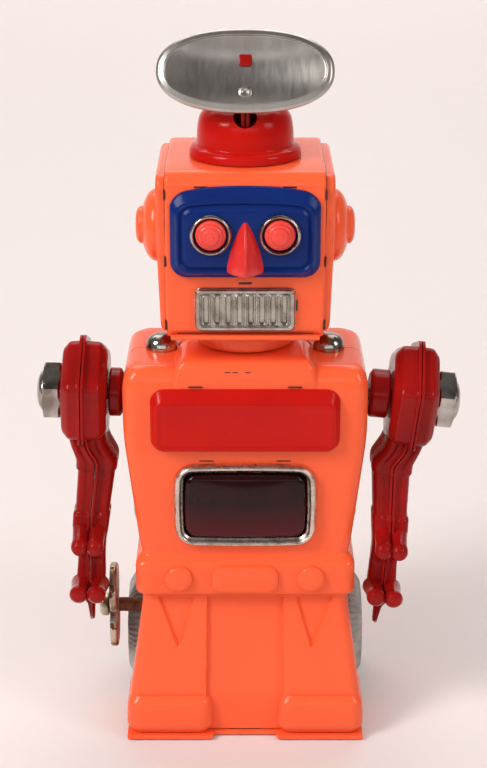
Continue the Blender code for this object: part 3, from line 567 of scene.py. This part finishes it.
lip = stacked([(x, -23.1, -21.2, 129.2, 130.7, 0.7, 0) for x in (-21.4, 21.4)], "X")
fit(solid("chin_lip", [lip]), "casing", ORANGE)

for side, label in ((1, "left"), (-1, "right")):
    lid = []
    for x, inset, ease in ((22.9, 0.0, 0), (24.6, 0.0, 0.6), (25.4, 0.9, 0.5), (25.3, 2.2, 0.5),
                           (24.6, 3.0, 0.5), (24.6, 6.0, 0)):
        lid.append((side * x, HEAD_Y - 22.6 + inset, HEAD_Y + 22.6 - inset, HEAD_Z - 23.3 + inset,
                    HEAD_Z + 23.3 - inset, max(4.2 - inset * 0.5, 1.0), ease))
    spots, loops = stacked(lid, "X", sides=4)
    spots[:, 0] -= side * 1.1 * np.clip((HEAD_Z + 6 - spots[:, 2]) / 30, 0, 1)
    fit(solid(f"head_lid_{label}", [(spots, loops)]), "casing", ORANGE, f"head_side_{label}")
    ear = [(10.6, 24.4, 0), (10.9, 25.3, 0.3), (10.6, 27.0, 1.0), (9.1, 28.7, 1.1), (6.5, 29.8, 0.6),
           (5.6, 30.0, 0.3), (5.4, 31.2, 0.8), (3.8, 32.1, 1.0), (0.3, 32.2, 0)]
    ear = [(radius, side * x, ease) for radius, x, ease in ear]
    fit(solid(f"ear_turning_{label}", [turned(ear, "X", (0, 157.4))]), "casing", ORANGE, f"ear_{label}")


# ------------------------------------------------------------------ red cap
# A spun tin cap with a wide brim sits on the head; the antenna's red post leaves it through a
# round hole in its front shoulder.
cap = [(16.2, 178.7, 0), (16.2, 180.6, 0.5), (15.5, 181.5, 0.6), (14.1, 182.0, 0.5), (13.9, 187.2, 2.6),
       (13.0, 191.0, 2.2), (9.6, 193.3, 2.4), (0.3, 193.4, 0)]
hood = solid("cap_spinning", [turned(cap, "Z", (0, 0), 120, caps=False)], wall=TIN, sharp=45)
hole = turned([(3.4, -2.6, 0), (3.4, 6.0, 0)], "Z", (0, 0), 48)
slope = math.radians(52)
across, along, up = hole[0][:, 0], hole[0][:, 1], hole[0][:, 2]
hole = (np.stack([across, along * math.sin(slope) - up * math.cos(slope) - 11.54,
                  along * math.cos(slope) + up * math.sin(slope) + 192.04], -1), hole[1])
cut(hood, [solid("hole_cutter", [hole])], sharp=45)
fit(hood, "casing", RED, "head_cap")


# ------------------------------------------------------------------ face
# A blue pressed mask, arched along its top, carries the plated eye rings, the stepped red eyes and
# the red nose. The mouth is a stamped grille of soft bright metal.
BLUE = coating("blue_enamel", (0.003, 0.026, 0.165), (0.006, 0.018, 0.125), roughness=0.20, spread=0.06,
               relief=0.03, gloss=0.13, worn=(0.02, 0.02, 0.03), worn_above=0.78)
EYE_RED = coating("red_plastic", (0.86, 0.085, 0.065), (0.78, 0.060, 0.045), roughness=0.20, spread=0.05,
                  relief=0.02, gloss=0.35)
STAMPED = coating("stamped_aluminium", (0.60, 0.57, 0.52), (0.38, 0.35, 0.30), metallic=1.0,
                  roughness=0.32, patches=260, grain=1500, relief=0.10, worn=(0.16, 0.13, 0.11),
                  worn_above=0.70, worn_scale=500)
EYE_X, EYE_Z = 9.7, 161.7
mask_rows = []
for y, side_in, top_in, low_in, corner, ease in (
        (-22.3, 0, 0.2, 0, 4.6, 0), (-23.2, 0.1, 0.5, 0.1, 4.6, 0.5), (-24.6, 1.4, 3.1, 1.4, 4.2, 0.5),
        (-25.6, 2.0, 3.9, 2.0, 3.8, 0.3), (-25.6, 2.5, 4.4, 2.5, 3.5, 0.3), (-24.9, 3.1, 5.0, 3.1, 3.2, 0.3),
        (-25.8, 4.0, 6.0, 4.0, 2.8, 0.5), (-26.0, 5.0, 7.2, 5.0, 2.6, 0)):
    mask_rows.append((y, -21.3 + side_in, 21.3 - side_in, 148.2 + low_in, 175.0 - top_in, corner, ease))
points, faces = stacked(mask_rows, "Y", sides=12, caps=True)
ARCH = 2.7
above = np.clip((points[:, 2] - 161.6) / 13.4, 0, 1)
points[:, 2] -= ARCH * above * np.abs(points[:, 0] / 21.3) ** 2.6
mask = solid("mask_pressing", [(points, faces)])
cut(mask, [solid("eye_cutter", [turned([(4.75, -30, 0), (4.75, -24.4, 0)], "Y", (side * EYE_X, EYE_Z))])
           for side in (-1, 1)])
fit(mask, "casing", BLUE, "face_mask")

for side, label in ((1, "left"), (-1, "right")):
    ring = [(5.85, -26.3, 0.1), (5.95, -27.1, 0.3), (5.4, -27.75, 0.3), (4.95, -27.5, 0.2), (4.8, -26.3, 0.1)]
    fit(solid(f"eye_rim_{label}", [turned(ring, "Y", (side * EYE_X, EYE_Z), join=True)]), "casing",
        CHROME, f"eye_ring_{label}")
    pupil = [(4.35, -23.8, 0), (4.35, -27.2, 0.4), (3.75, -27.9, 0.3), (3.45, -27.8, 0.1), (3.35, -28.6, 0.2),
             (2.75, -29.0, 0.3), (2.5, -28.9, 0.1), (2.4, -29.5, 0.2), (1.7, -29.85, 0.3), (1.4, -29.75, 0.1),
             (0.9, -30.0, 0.3), (0.2, -30.05, 0)]
    fit(solid(f"eye_pupil_{label}", [turned(pupil, "Y", (side * EYE_X, EYE_Z))], sharp=60), "casing",
        EYE_RED, f"eye_lens_{label}")


def nose_wedge():
    """Rows up the nose of its half width and reach; round each row x = half * sin t, and the reach
    falls from a narrow ridge as (1 - |sin t|^1.3), closed along the mask."""
    line = eased([(150.2, 4.3, 4.6, 0), (150.7, 5.1, 5.8, 0.5), (152.2, 5.2, 6.2, 1.2),
                  (157.6, 4.0, 4.9, 3.0), (162.0, 2.3, 3.0, 2.0), (164.6, 0.9, 1.4, 0.7),
                  (165.2, 0.3, 0.6, 0)], 6)
    t = np.linspace(-math.pi / 2, math.pi / 2, 41)
    x = line[:, 1:2] * np.sin(t)
    y = -26.0 - line[:, 2:3] * (1 - np.abs(np.sin(t)) ** 1.3)
    return surface(np.stack([x, y, np.repeat(line[:, :1], 41, 1)], -1))


NOSE_RED = coating("nose_plastic", (0.70, 0.028, 0.024), (0.62, 0.020, 0.018), roughness=0.17, spread=0.05,
                   relief=0.02, gloss=0.5)
fit(solid("nose_moulding", [nose_wedge()], sharp=60), "casing", NOSE_RED, "nose")


def grille_sheet():
    """Stamped plate as a height over x and z: down to the head at its rounded outline, a rolled
    rim, a field sunk in it, and upright slots at an even pitch, each in a fine raised outline."""
    half_x, half_z, corner, pitch = 14.5, 6.5, 2.0, 3.2
    x, z = np.meshgrid(np.linspace(-half_x, half_x, 261), np.linspace(-half_z, half_z, 105))

    def outside(over_x, over_z):
        """Distance outside a box, from the distances past its two sides; negative inside it."""
        corners = np.hypot(np.maximum(over_x, 0), np.maximum(over_z, 0))
        return corners + np.minimum(np.maximum(over_x, over_z), 0)

    def inside(margin, radius):
        """Distance inside the plate's rounded outline drawn in by margin."""
        return radius - outside(np.abs(x) - (half_x - margin - radius),
                                np.abs(z) - (half_z - margin - radius))

    rim = inside(0, corner)
    field = inside(1.3, 1.2)
    nearest = np.clip(np.floor(x / pitch), -4, 3) + 0.5
    gap = outside(np.abs(x - pitch * nearest) - 0.42, np.abs(z) - 3.75) - 0.45
    outline = np.exp(-((gap - 0.15) / 0.26) ** 2)
    raise_by = (1.25 * step_up(rim, 0.7) - 0.70 * step_up(field, 0.45) + 0.50 * outline
                - 0.50 * step_up(-gap, 0.35))
    pull = np.where(rim < 0, rim, 0)
    past_x, past_z = np.abs(x) - half_x + corner, np.abs(z) - half_z + corner
    spread = np.hypot(np.maximum(past_x, 1e-6), np.maximum(past_z, 1e-6))
    x = x + pull * np.sign(x) * np.maximum(past_x, 0) / spread
    z = z + pull * np.sign(z) * np.maximum(past_z, 0) / spread
    return surface(np.stack([x, -22.3 - raise_by, 138.5 + z], -1), around=False)


fit(solid("mouth_stamping", [grille_sheet()], wall=0.15, sharp=60), "casing", STAMPED, "mouth_grille")


# ------------------------------------------------------------------ folded tabs
# The tin pieces are held by small tongues pushed through slots and bent over behind; each slot beside an edge
# is drawn as a short bar painted dark with the shade that falls into it.
# painted shade: this colour stands for the shade inside the slots
SLOT_SHADE_PAINT = coating("painted_slot_shade", (0.02, 0.012, 0.01), (0.05, 0.025, 0.02), roughness=0.6, patches=600, grain=2000)
shade_bars = []


def shade_bar(x, y, z, half_x, half_y, half_z):
    """Shallow bar with rounded ends, almost flush with the tin round it, painted dark with a slot's shade."""
    shade_bars.append(stacked([(x - half_x, y - half_y, y + half_y, z - half_z, z + half_z,
                           0.8 * min(half_y, half_z), 0),
                          (x + half_x, y - half_y, y + half_y, z - half_z, z + half_z,
                           0.8 * min(half_y, half_z), 0)], "X", steps=4))


for side in (-1, 1):
    shade_bar(side * 12.5, -22.0, 174.3, 1.9, 0.12, 0.24)
    shade_bar(side * 14.6, -19.85, 113.7, 2.1, 0.12, 0.20)
    shade_bar(side * 11.5, -19.55, 90.2, 2.1, 0.12, 0.18)
    for z in (172.0, 152.5, 133.5):
        shade_bar(side * 22.85, -21.4, z, 0.18, 0.7, 1.5)
shade_bar(0, -22.05, 146.2, 1.9, 0.12, 0.32)
# painted shadow line along the top of the chin lip
shade_bar(0, -22.02, 131.2, 19.5, 0.10, 0.16)
shade_bar(14.7, -22.05, 139.6, 0.28, 0.12, 1.6)
for x in (-5.2, -2.9, 0.8):
    shade_bar(x, -19.8, 118.3, 0.75, 0.12, 0.13)
fit(solid("painted_tab_slot_shades", shade_bars), "casing", SLOT_SHADE_PAINT)


# ------------------------------------------------------------------ radar dish and its post
# The dish is a shallow oval pressing of bright tin with a rolled rim, riveted to a moulded red post
# that turns with the clockwork; the end of the post's peg shows in the dish.
DISH_TILT, DISH_YAW = math.radians(27), math.radians(-1)
DISH_CENTRE = np.array([0.0, -12.2, 205.4])
DISH_HALF = (25.0, 12.2)
ANTENNA_Y = -10.5
DISH_OVAL = 2.3                  # 2 is a plain ellipse, and more is squarer
PEG_UP, STEM_UP = 3.4, -7.2      # places up and down the dish, from its middle
SATIN = coating("satin_tin", (0.56, 0.53, 0.50), (0.44, 0.41, 0.38), metallic=1.0, roughness=0.34,
                spread=0.05, patches=40, grain=1100, relief=0.05, stretch=(2.5, 0.5, 0.5),
                worn=(0.22, 0.17, 0.14), worn_above=0.74, worn_scale=400)


def on_dish(x, s, lift):
    """Point of the tilted dish plane: x across, s up its face, lift along its normal, then turned
    by the yaw about the antenna's axis."""
    y = DISH_CENTRE[1] + s * math.sin(DISH_TILT) - lift * math.cos(DISH_TILT) - ANTENNA_Y
    z = DISH_CENTRE[2] + s * math.cos(DISH_TILT) + lift * math.sin(DISH_TILT)
    return np.stack([x * math.cos(DISH_YAW) - y * math.sin(DISH_YAW),
                     ANTENNA_Y + x * math.sin(DISH_YAW) + y * math.cos(DISH_YAW), z], -1)


def dish_bowl():
    """Oval bowl, |x/a|^n + |s/b|^n = 1 with n = 2.3: inside, lift 3.1 (share^2 - 1) over the half axes
    less the flange; then a raised lip, a flange that falls to the rim, and the sheet's back."""
    flange = 2.2
    share = np.array([0.012, 0.15, 0.3, 0.45, 0.6, 0.75, 0.88])
    inside = np.stack([share, 0 * share, 3.1 * (share ** 2 - 1) - 0.1, 0 * share], -1)
    lip = [(1, -0.25, -0.35, 0.1), (1, 0.0, 0.25, 0.12), (1, 0.25, 0.10, 0.1), (1, 1.3, -0.15, 0.3),
           (1, 2.05, -0.75, 0.3), (1, 2.2, -1.25, 0.12), (1, 1.9, -1.35, 0.1), (1, 0.2, -0.75, 0.2)]
    behind = np.stack([share[::-1], 0 * share, 3.1 * (share[::-1] ** 2 - 1) - 0.75, 0 * share], -1)
    line = eased(np.concatenate([inside, lip, behind]).tolist(), 4)
    angle = np.linspace(0, 2 * math.pi, 168, endpoint=False)
    across = np.sign(np.cos(angle)) * np.abs(np.cos(angle)) ** (2 / DISH_OVAL)
    along = np.sign(np.sin(angle)) * np.abs(np.sin(angle)) ** (2 / DISH_OVAL)
    half_x = line[:, :1] * (DISH_HALF[0] - flange) + line[:, 1:2]
    half_s = line[:, :1] * (DISH_HALF[1] - flange) + line[:, 1:2]
    return surface(on_dish(half_x * across, half_s * along, np.repeat(line[:, 2:3], 168, 1)))


def on_face(part, s, lift):
    """Carry a part turned about Z onto the dish's face at s, raised by lift."""
    spots, loops = part
    return on_dish(spots[:, 0], s + spots[:, 1], lift + spots[:, 2]), loops


fit(solid("dish_pressing", [dish_bowl()]), "antenna", SATIN, "radar_dish")
rivet = turned([(2.0, 0, 0), (1.9, 0.5, 0.2), (1.1, 0.75, 0.2), (0.6, 0.35, 0.1), (0.1, 0.3, 0)],
               "Z", (0, 0), 32)
fit(solid("dish_rivet", [on_face(rivet, -6.0, -2.2)]), "antenna", STAMPED)

peg_end = stacked([(-1.4, -1.9, 1.9, -1.7, 1.7, 0.7, 0), (0.4, -1.9, 1.9, -1.7, 1.7, 0.7, 0.35),
                   (0.6, -1.1, 1.1, -0.9, 0.9, 0.4, 0)], "Z")
post_parts = [on_face(peg_end, PEG_UP, -2.6)]
for side in (-1, 1):
    low, high = sorted((side * 0.12, side * 1.25))
    post_parts.append(stacked([(z, low, high, ANTENNA_Y - 1.2, ANTENNA_Y + 1.2, 0.3, 0)
                               for z in (184.0, 198.0)], "Z"))
spine = stacked([(-6.4, -1.2, 1.2, -6.2, 5.0, 0.5, 0), (-4.4, -1.2, 1.2, -6.2, 5.0, 0.5, 0.3),
                 (-4.2, -0.9, 0.9, -5.9, 4.7, 0.4, 0)], "Z")
stem = stacked([(-6.2, -0.7, 0.7, -0.7, 0.7, 0.3, 0), (-1.9, -0.7, 0.7, -0.7, 0.7, 0.3, 0)], "Z")
post_parts += [on_face(spine, 0, 0), on_face(stem, STEM_UP, 0)]
neck_peg = stacked([(-5.2, -1.0, 1.0, -1.0, 1.0, 0.3, 0), (-2.6, -1.0, 1.0, -1.0, 1.0, 0.3, 0)], "Z")
post_parts.append(on_face(neck_peg, PEG_UP, 0))
MOULDED = coating("deep_red_plastic", (0.33, 0.006, 0.005), (0.23, 0.005, 0.004), roughness=0.19,
                  spread=0.07, relief=0.03, gloss=0.18, worn=(0.06, 0.012, 0.01), worn_above=0.78)
fit(solid("post_moulding", post_parts), "antenna", MOULDED, "antenna_post")


# ------------------------------------------------------------------ arms
# Each arm is two red mouldings joined at a seam: a six-sided shoulder, a limb that jogs inwards at
# the elbow, and paired rounded finger tips. It hangs loose on a bolt with a big plated nut.
SHOULDER_Y, SHOULDER_Z = -2.0, 105.5
WALL_X = 36.5
LEAN = {1: math.radians(6.0), -1: math.radians(1.5)}
REACH = {1: 51.1, -1: 48.8}      # out to the seam, before the lean
SIX_TURN = math.radians(22)
LIMB = [                         # z, seam offset, outer width, inner width, front y, rear y, easing
    (97.0, 0.0, 5.2, 6.2, -12.5, 7.5, 0), (91.0, -1.4, 5.0, 6.2, -13.0, 5.0, 1.6),
    (86.4, -4.1, 6.0, 6.6, -12.8, 2.4, 1.2), (83.6, -4.0, 6.0, 6.5, -12.6, 1.6, 0.6),
    (82.8, -3.9, 5.3, 6.0, -12.2, 1.0, 0.5), (70.4, -2.9, 4.9, 5.4, -14.0, -4.0, 0.5),
    (69.6, -2.8, 5.5, 5.8, -14.8, -4.0, 0.5), (65.0, -2.5, 5.4, 5.6, -15.8, -5.2, 1.6),
    (59.5, -2.4, 4.2, 4.8, -13.0, -6.0, 1.8), (54.0, -2.4, 3.7, 4.6, -11.5, -6.4, 2.0),
    (47.0, -2.4, 4.2, 4.7, -13.5, -7.4, 1.8), (42.4, -2.5, 3.4, 3.9, -13.6, -8.0, 1.2),
    (39.0, -2.7, 1.1, 1.3, -13.0, -8.4, 0.8), (33.6, -3.0, 0.6, 0.8, -12.2, -9.6, 0),
]


def leaned(part, side):
    """Tip an arm part about the body wall by its side's lean."""
    spots, loops = part
    x = spots[:, 0] - side * WALL_X
    z = spots[:, 2] - SHOULDER_Z
    c, s = math.cos(LEAN[side]), math.sin(LEAN[side])
    return np.stack([side * WALL_X + x * c + z * s, spots[:, 1], SHOULDER_Z - x * s + z * c], -1), loops


def six_sided(radius, corner):
    """Outline of a hexagon of that radius with eased corners, as rows (y, z)."""
    angle = SIX_TURN + np.linspace(0, 2 * math.pi, 7)[:-1]
    return eased(np.stack([SHOULDER_Y - radius * np.cos(angle), SHOULDER_Z + radius * np.sin(angle),
                           np.full(6, corner)], -1).tolist(), 6, closed=True)


def shoulder_block(side, outward, steps):
    """Hexagon carried out from the seam: steps of (distance, radius, easing)."""
    line = eased(steps, 5)
    rows = []
    for h, radius in line:
        ring = six_sided(radius, 2.2)
        rows.append(np.column_stack([np.full(len(ring), side * (REACH[side] + outward * h)), ring]))
    return surface(rows)


def limb_shell(side, outward):
    """Half limb: down the rows go seam, width, front and rear; round each row a line leaves the
    seam at the front, steps over the seam flange, crosses a groove and a ridge, and comes back."""
    table = [(z, shift, row[0] if outward > 0 else row[1], front, rear, ease)
             for z, shift, *row, front, rear, ease in LIMB]
    line = eased(table, 5)
    share = np.array([0, 0, 0.10, 0.14, 0.42, 0.62, 0.86, 1.0, 1.0, 0.97, 1.0, 1.0, 0.86, 0.55, 0.14,
                      0.10, 0])
    fixed = np.array([0.12, 0.12, 0.35, 0.3, 0, 0, 0, 0, 0, 0, 0, 0, 0, 0, 0.3, 0.35, 0.12])
    depth = np.array([0.5, 0, 0, 0.05, 0.07, 0.03, 0.05, 0.16, 0.36, 0.5, 0.64, 0.84, 0.95, 0.97, 0.96, 1, 1])
    proud = np.array([0, 0.75, 0.75, 0, 0, 0, 0, 0, 0, 0, 0, 0, 0, 0, 0, 0, 0])
    columns = np.stack([share, fixed, depth, proud], -1)
    radii = np.array([0.02, 0.05, 0.05, 0.05, 0.1, 0.12, 0.12, 0.14, 0.1, 0.1, 0.1, 0.14, 0.12, 0.1, 0.05,
                      0.05, 0.02])
    smooth_columns = eased(np.column_stack([columns, radii]).tolist(), 3, closed=True)
    share, fixed, depth, proud = smooth_columns.T
    z, shift, width, front, rear = (line[:, i:i + 1] for i in range(5))
    w = fixed + share * (width - fixed)
    y = front + depth * (rear - front) - proud
    x = side * (REACH[side] + shift + outward * np.maximum(w, 0.12))
    return surface(np.stack([x, y, np.repeat(z, x.shape[1], 1)], -1))


def finger(side, outward, tip, root, radius):
    """Round lobe: rings along the line from root to tip, waisted behind the tip and domed over it."""
    stations = eased([(0.0, 1.15, 0), (0.5, 0.97, 0.2), (0.8, 0.95, 0.08), (0.95, 1.02, 0.06),
                      (1.08, 1.0, 0.06), (1.19, 0.72, 0.05), (1.235, 0.12, 0)], 5)
    angle = np.linspace(0, 2 * math.pi, 28, endpoint=False)
    share, scale = stations[:, :1], stations[:, 1:2] * radius
    middle = REACH[side] - 2.4 + outward * (radius - 0.1)
    y = root[0] + share * (tip[0] - root[0]) + 0 * angle
    z = root[1] + share * (tip[1] - root[1]) + scale * np.sin(angle)
    x = side * np.where(outward > 0, np.maximum(middle + scale * np.cos(angle), REACH[side] - 2.28),
                        np.minimum(middle + scale * np.cos(angle), REACH[side] - 2.52))
    return surface(np.stack([x, y, z], -1))


for side, label in ((1, "left"), (-1, "right")):
    for name, outward, depth in (("outer", 1, 6.2), ("inner", -1, 7.4)):
        block = shoulder_block(side, outward, [(0.12, 18.9, 0), (0.12, 19.2, 0.1), (0.95, 19.2, 0.25),
                                               (1.0, 17.3, 0.25), (depth - 2.2, 17.0, 0.7),
                                               (depth - 0.3, 14.6, 0.6), (depth, 13.2, 0.4), (depth, 3.0, 0)])
        parts = [block, limb_shell(side, outward),
                 finger(side, outward, (-22.0, 62.9), (-12.0, 65.4), 2.5),
                 finger(side, outward, (-22.0, 46.9), (-11.0, 45.2), 2.8)]
        half = solid(f"arm_{name}_moulding_{label}", [leaned(part, side) for part in parts], sharp=32)
        fit(half, f"arm_{label}", MOULDED, f"arm_{name}_{label}")
    near = 37.3 if side > 0 else 36.8
    far = REACH[side] - 7.7
    spool = [(2.8, near, 0), (6.0, near, 0.4), (7.4, near + 0.9, 0.5), (7.4, far - 0.5, 0.3),
             (6.8, far, 0.3), (2.8, far, 0)]
    spool = turned([(radius, side * x, ease) for radius, x, ease in spool], "X",
                   (SHOULDER_Y, SHOULDER_Z), join=True)
    fit(solid(f"arm_collar_{label}", [leaned(spool, side)]), f"arm_{label}", MOULDED, f"arm_spool_{label}")

    face = REACH[side] + 6.5
    angle = np.linspace(0, 2 * math.pi, 144, endpoint=False)
    flat = 9.6 * math.cos(math.pi / 6) / np.cos((angle - SIX_TURN) % (math.pi / 3) - math.pi / 6)
    rows = []
    for x, limit in eased([(0.0, 8.2, 0), (0.8, 9.75, 0.1), (4.6, 9.75, 0.3), (5.4, 8.4, 0.1),
                           (5.4, 6.4, 0.1), (5.9, 6.2, 0.2), (6.9, 5.1, 0.8), (7.6, 2.6, 0.8),
                           (7.7, 0.3, 0)], 5):
        radius = np.minimum(flat, limit)
        rows.append(np.stack([np.full(144, side * (face + x)), SHOULDER_Y - radius * np.cos(angle),
                              SHOULDER_Z + radius * np.sin(angle)], -1))
    fit(solid(f"shoulder_nut_{label}", [leaned(surface(rows), side)], sharp=24), f"arm_{label}", CHROME,
        f"hex_nut_{label}")
    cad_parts[f"arm_bolt_{label}"].data.materials[0] = BARE_TIN


# ------------------------------------------------------------------ wheels
# The drive wheels have knurled grey tyres pressed on dished red hubs, on one steel axle. A small
# pilot wheel under the front keeps the toy level.
TYRE = coating("grey_tyre", (0.27, 0.25, 0.235), (0.42, 0.39, 0.36), roughness=0.66, patches=240, grain=1300,
               relief=0.35)
STEEL = coating("plain_steel", (0.42, 0.40, 0.38), (0.30, 0.28, 0.26), metallic=1.0, roughness=0.36,
                patches=300, relief=0.08, worn=(0.12, 0.05, 0.025), worn_above=0.62, worn_scale=500)
for side, label in ((1, "left"), (-1, "right")):
    tread = [(13.2, 31.5, 0.2), (17.3, 31.7, 0.7), (18.0, 32.6, 0.4), (18.0, 33.8, 0.5), (16.9, 35.5, 1.0),
             (13.9, 37.4, 0.4), (13.2, 37.6, 0.2)]
    tread = [(radius, side * x, ease) for radius, x, ease in tread]
    tyre = turned(tread, "X", (WHEEL_Y, WHEEL_Z), 480, join=True, lobes=60, lobe_depth=0.022)
    fit(solid(f"ribbed_tyre_{label}", [tyre], sharp=60), "drive", TYRE, f"tyre_{label}")
    hub = [(1.75, 32.0, 0.1), (12.9, 32.0, 0.2), (12.9, 36.9, 0.4), (11.6, 37.3, 0.4), (10.6, 35.8, 0.8),
           (5.0, 35.8, 0.8), (4.2, 37.2, 0.6), (1.75, 37.6, 0.1)]
    hub = [(radius, side * x, ease) for radius, x, ease in hub]
    fit(solid(f"dished_hub_{label}", [turned(hub, "X", (WHEEL_Y, WHEEL_Z), join=True)]), "drive", RED,
        f"wheel_hub_{label}")
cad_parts["drive_axle"].data.materials[0] = STEEL
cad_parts["pilot_wheel"].data.materials[0] = TYRE
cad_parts["pilot_bracket"].data.materials[0] = STEEL


# ------------------------------------------------------------------ winding key
# A butterfly key cut from plated sheet is riveted on a rusty steel arbor by a folded hub of the same.
KEY_Y, KEY_Z = -2.0, 33.5
BRASS = coating("old_brass", (0.50, 0.36, 0.17), (0.34, 0.23, 0.10), metallic=1.0, roughness=0.33,
                patches=260, relief=0.08)
KEY_PLATE = coating("spotted_plate", (0.60, 0.55, 0.47), (0.38, 0.30, 0.20), metallic=1.0, roughness=0.34,
                    patches=300, grain=1500, relief=0.10, worn=(0.20, 0.09, 0.04), worn_above=0.60,
                    worn_scale=380)
RUST = coating("rusty_steel", (0.24, 0.10, 0.05), (0.12, 0.05, 0.03), metallic=0.6, roughness=0.6,
               patches=500, grain=1800, relief=0.3)
angle = np.linspace(0, 2 * math.pi, 180, endpoint=False)
reach = 4.4 + 9.6 * np.abs(np.sin(angle)) ** 1.6
rows = []
for x, scale in eased([(-42.5, 0.12, 0), (-42.5, 0.955, 0.02), (-42.1, 1.0, 0.25), (-40.6, 1.0, 0.25),
                       (-40.2, 0.955, 0.02), (-40.2, 0.12, 0)], 4):
    rows.append(np.stack([np.full(180, x), KEY_Y + 1.05 * scale * reach * np.cos(angle),
                          KEY_Z + scale * reach * np.sin(angle)], -1))
fit(solid("butterfly_plate", [surface(rows)]), "key", KEY_PLATE, "key_plate")
hub = turned([(2.6, -42.8, 0), (3.6, -43.2, 0.3), (3.6, -45.0, 0.4), (2.7, -45.9, 0.4), (0.4, -45.9, 0)],
             "X", (KEY_Y, KEY_Z))
fit(solid("folded_hub", [hub]), "key", KEY_PLATE, "key_hub")
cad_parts["key_arbor"].data.materials[0] = RUST


# ------------------------------------------------------------------ clockwork
# Inside the body two steel plates on pillars carry the mainspring and the brass wheel train up to
# the spark wheel, with its flint, and the crown wheel of the antenna shaft.
for name in ("great_wheel", "idle_gear", "axle_pinion", "ratchet_wheel"):
    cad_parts[name].data.materials[0] = BRASS
for name in ("idle_pinion", "spark_arbor", "frame_plate_left", "frame_plate_right", "antenna_shaft"):
    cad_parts[name].data.materials[0] = STEEL
BLUED = coating("blued_spring", (0.10, 0.11, 0.15), (0.06, 0.07, 0.10), metallic=1.0, roughness=0.3,
                patches=200, relief=0.05)
GRIT = coating("spark_grit", (0.16, 0.15, 0.15), (0.26, 0.24, 0.23), roughness=0.85, patches=900, grain=2200,
               relief=0.5)
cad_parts["mainspring"].data.materials[0] = BLUED
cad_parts["spark_wheel"].data.materials[0] = GRIT
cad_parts["flint_holder"].data.materials[0] = BRASS
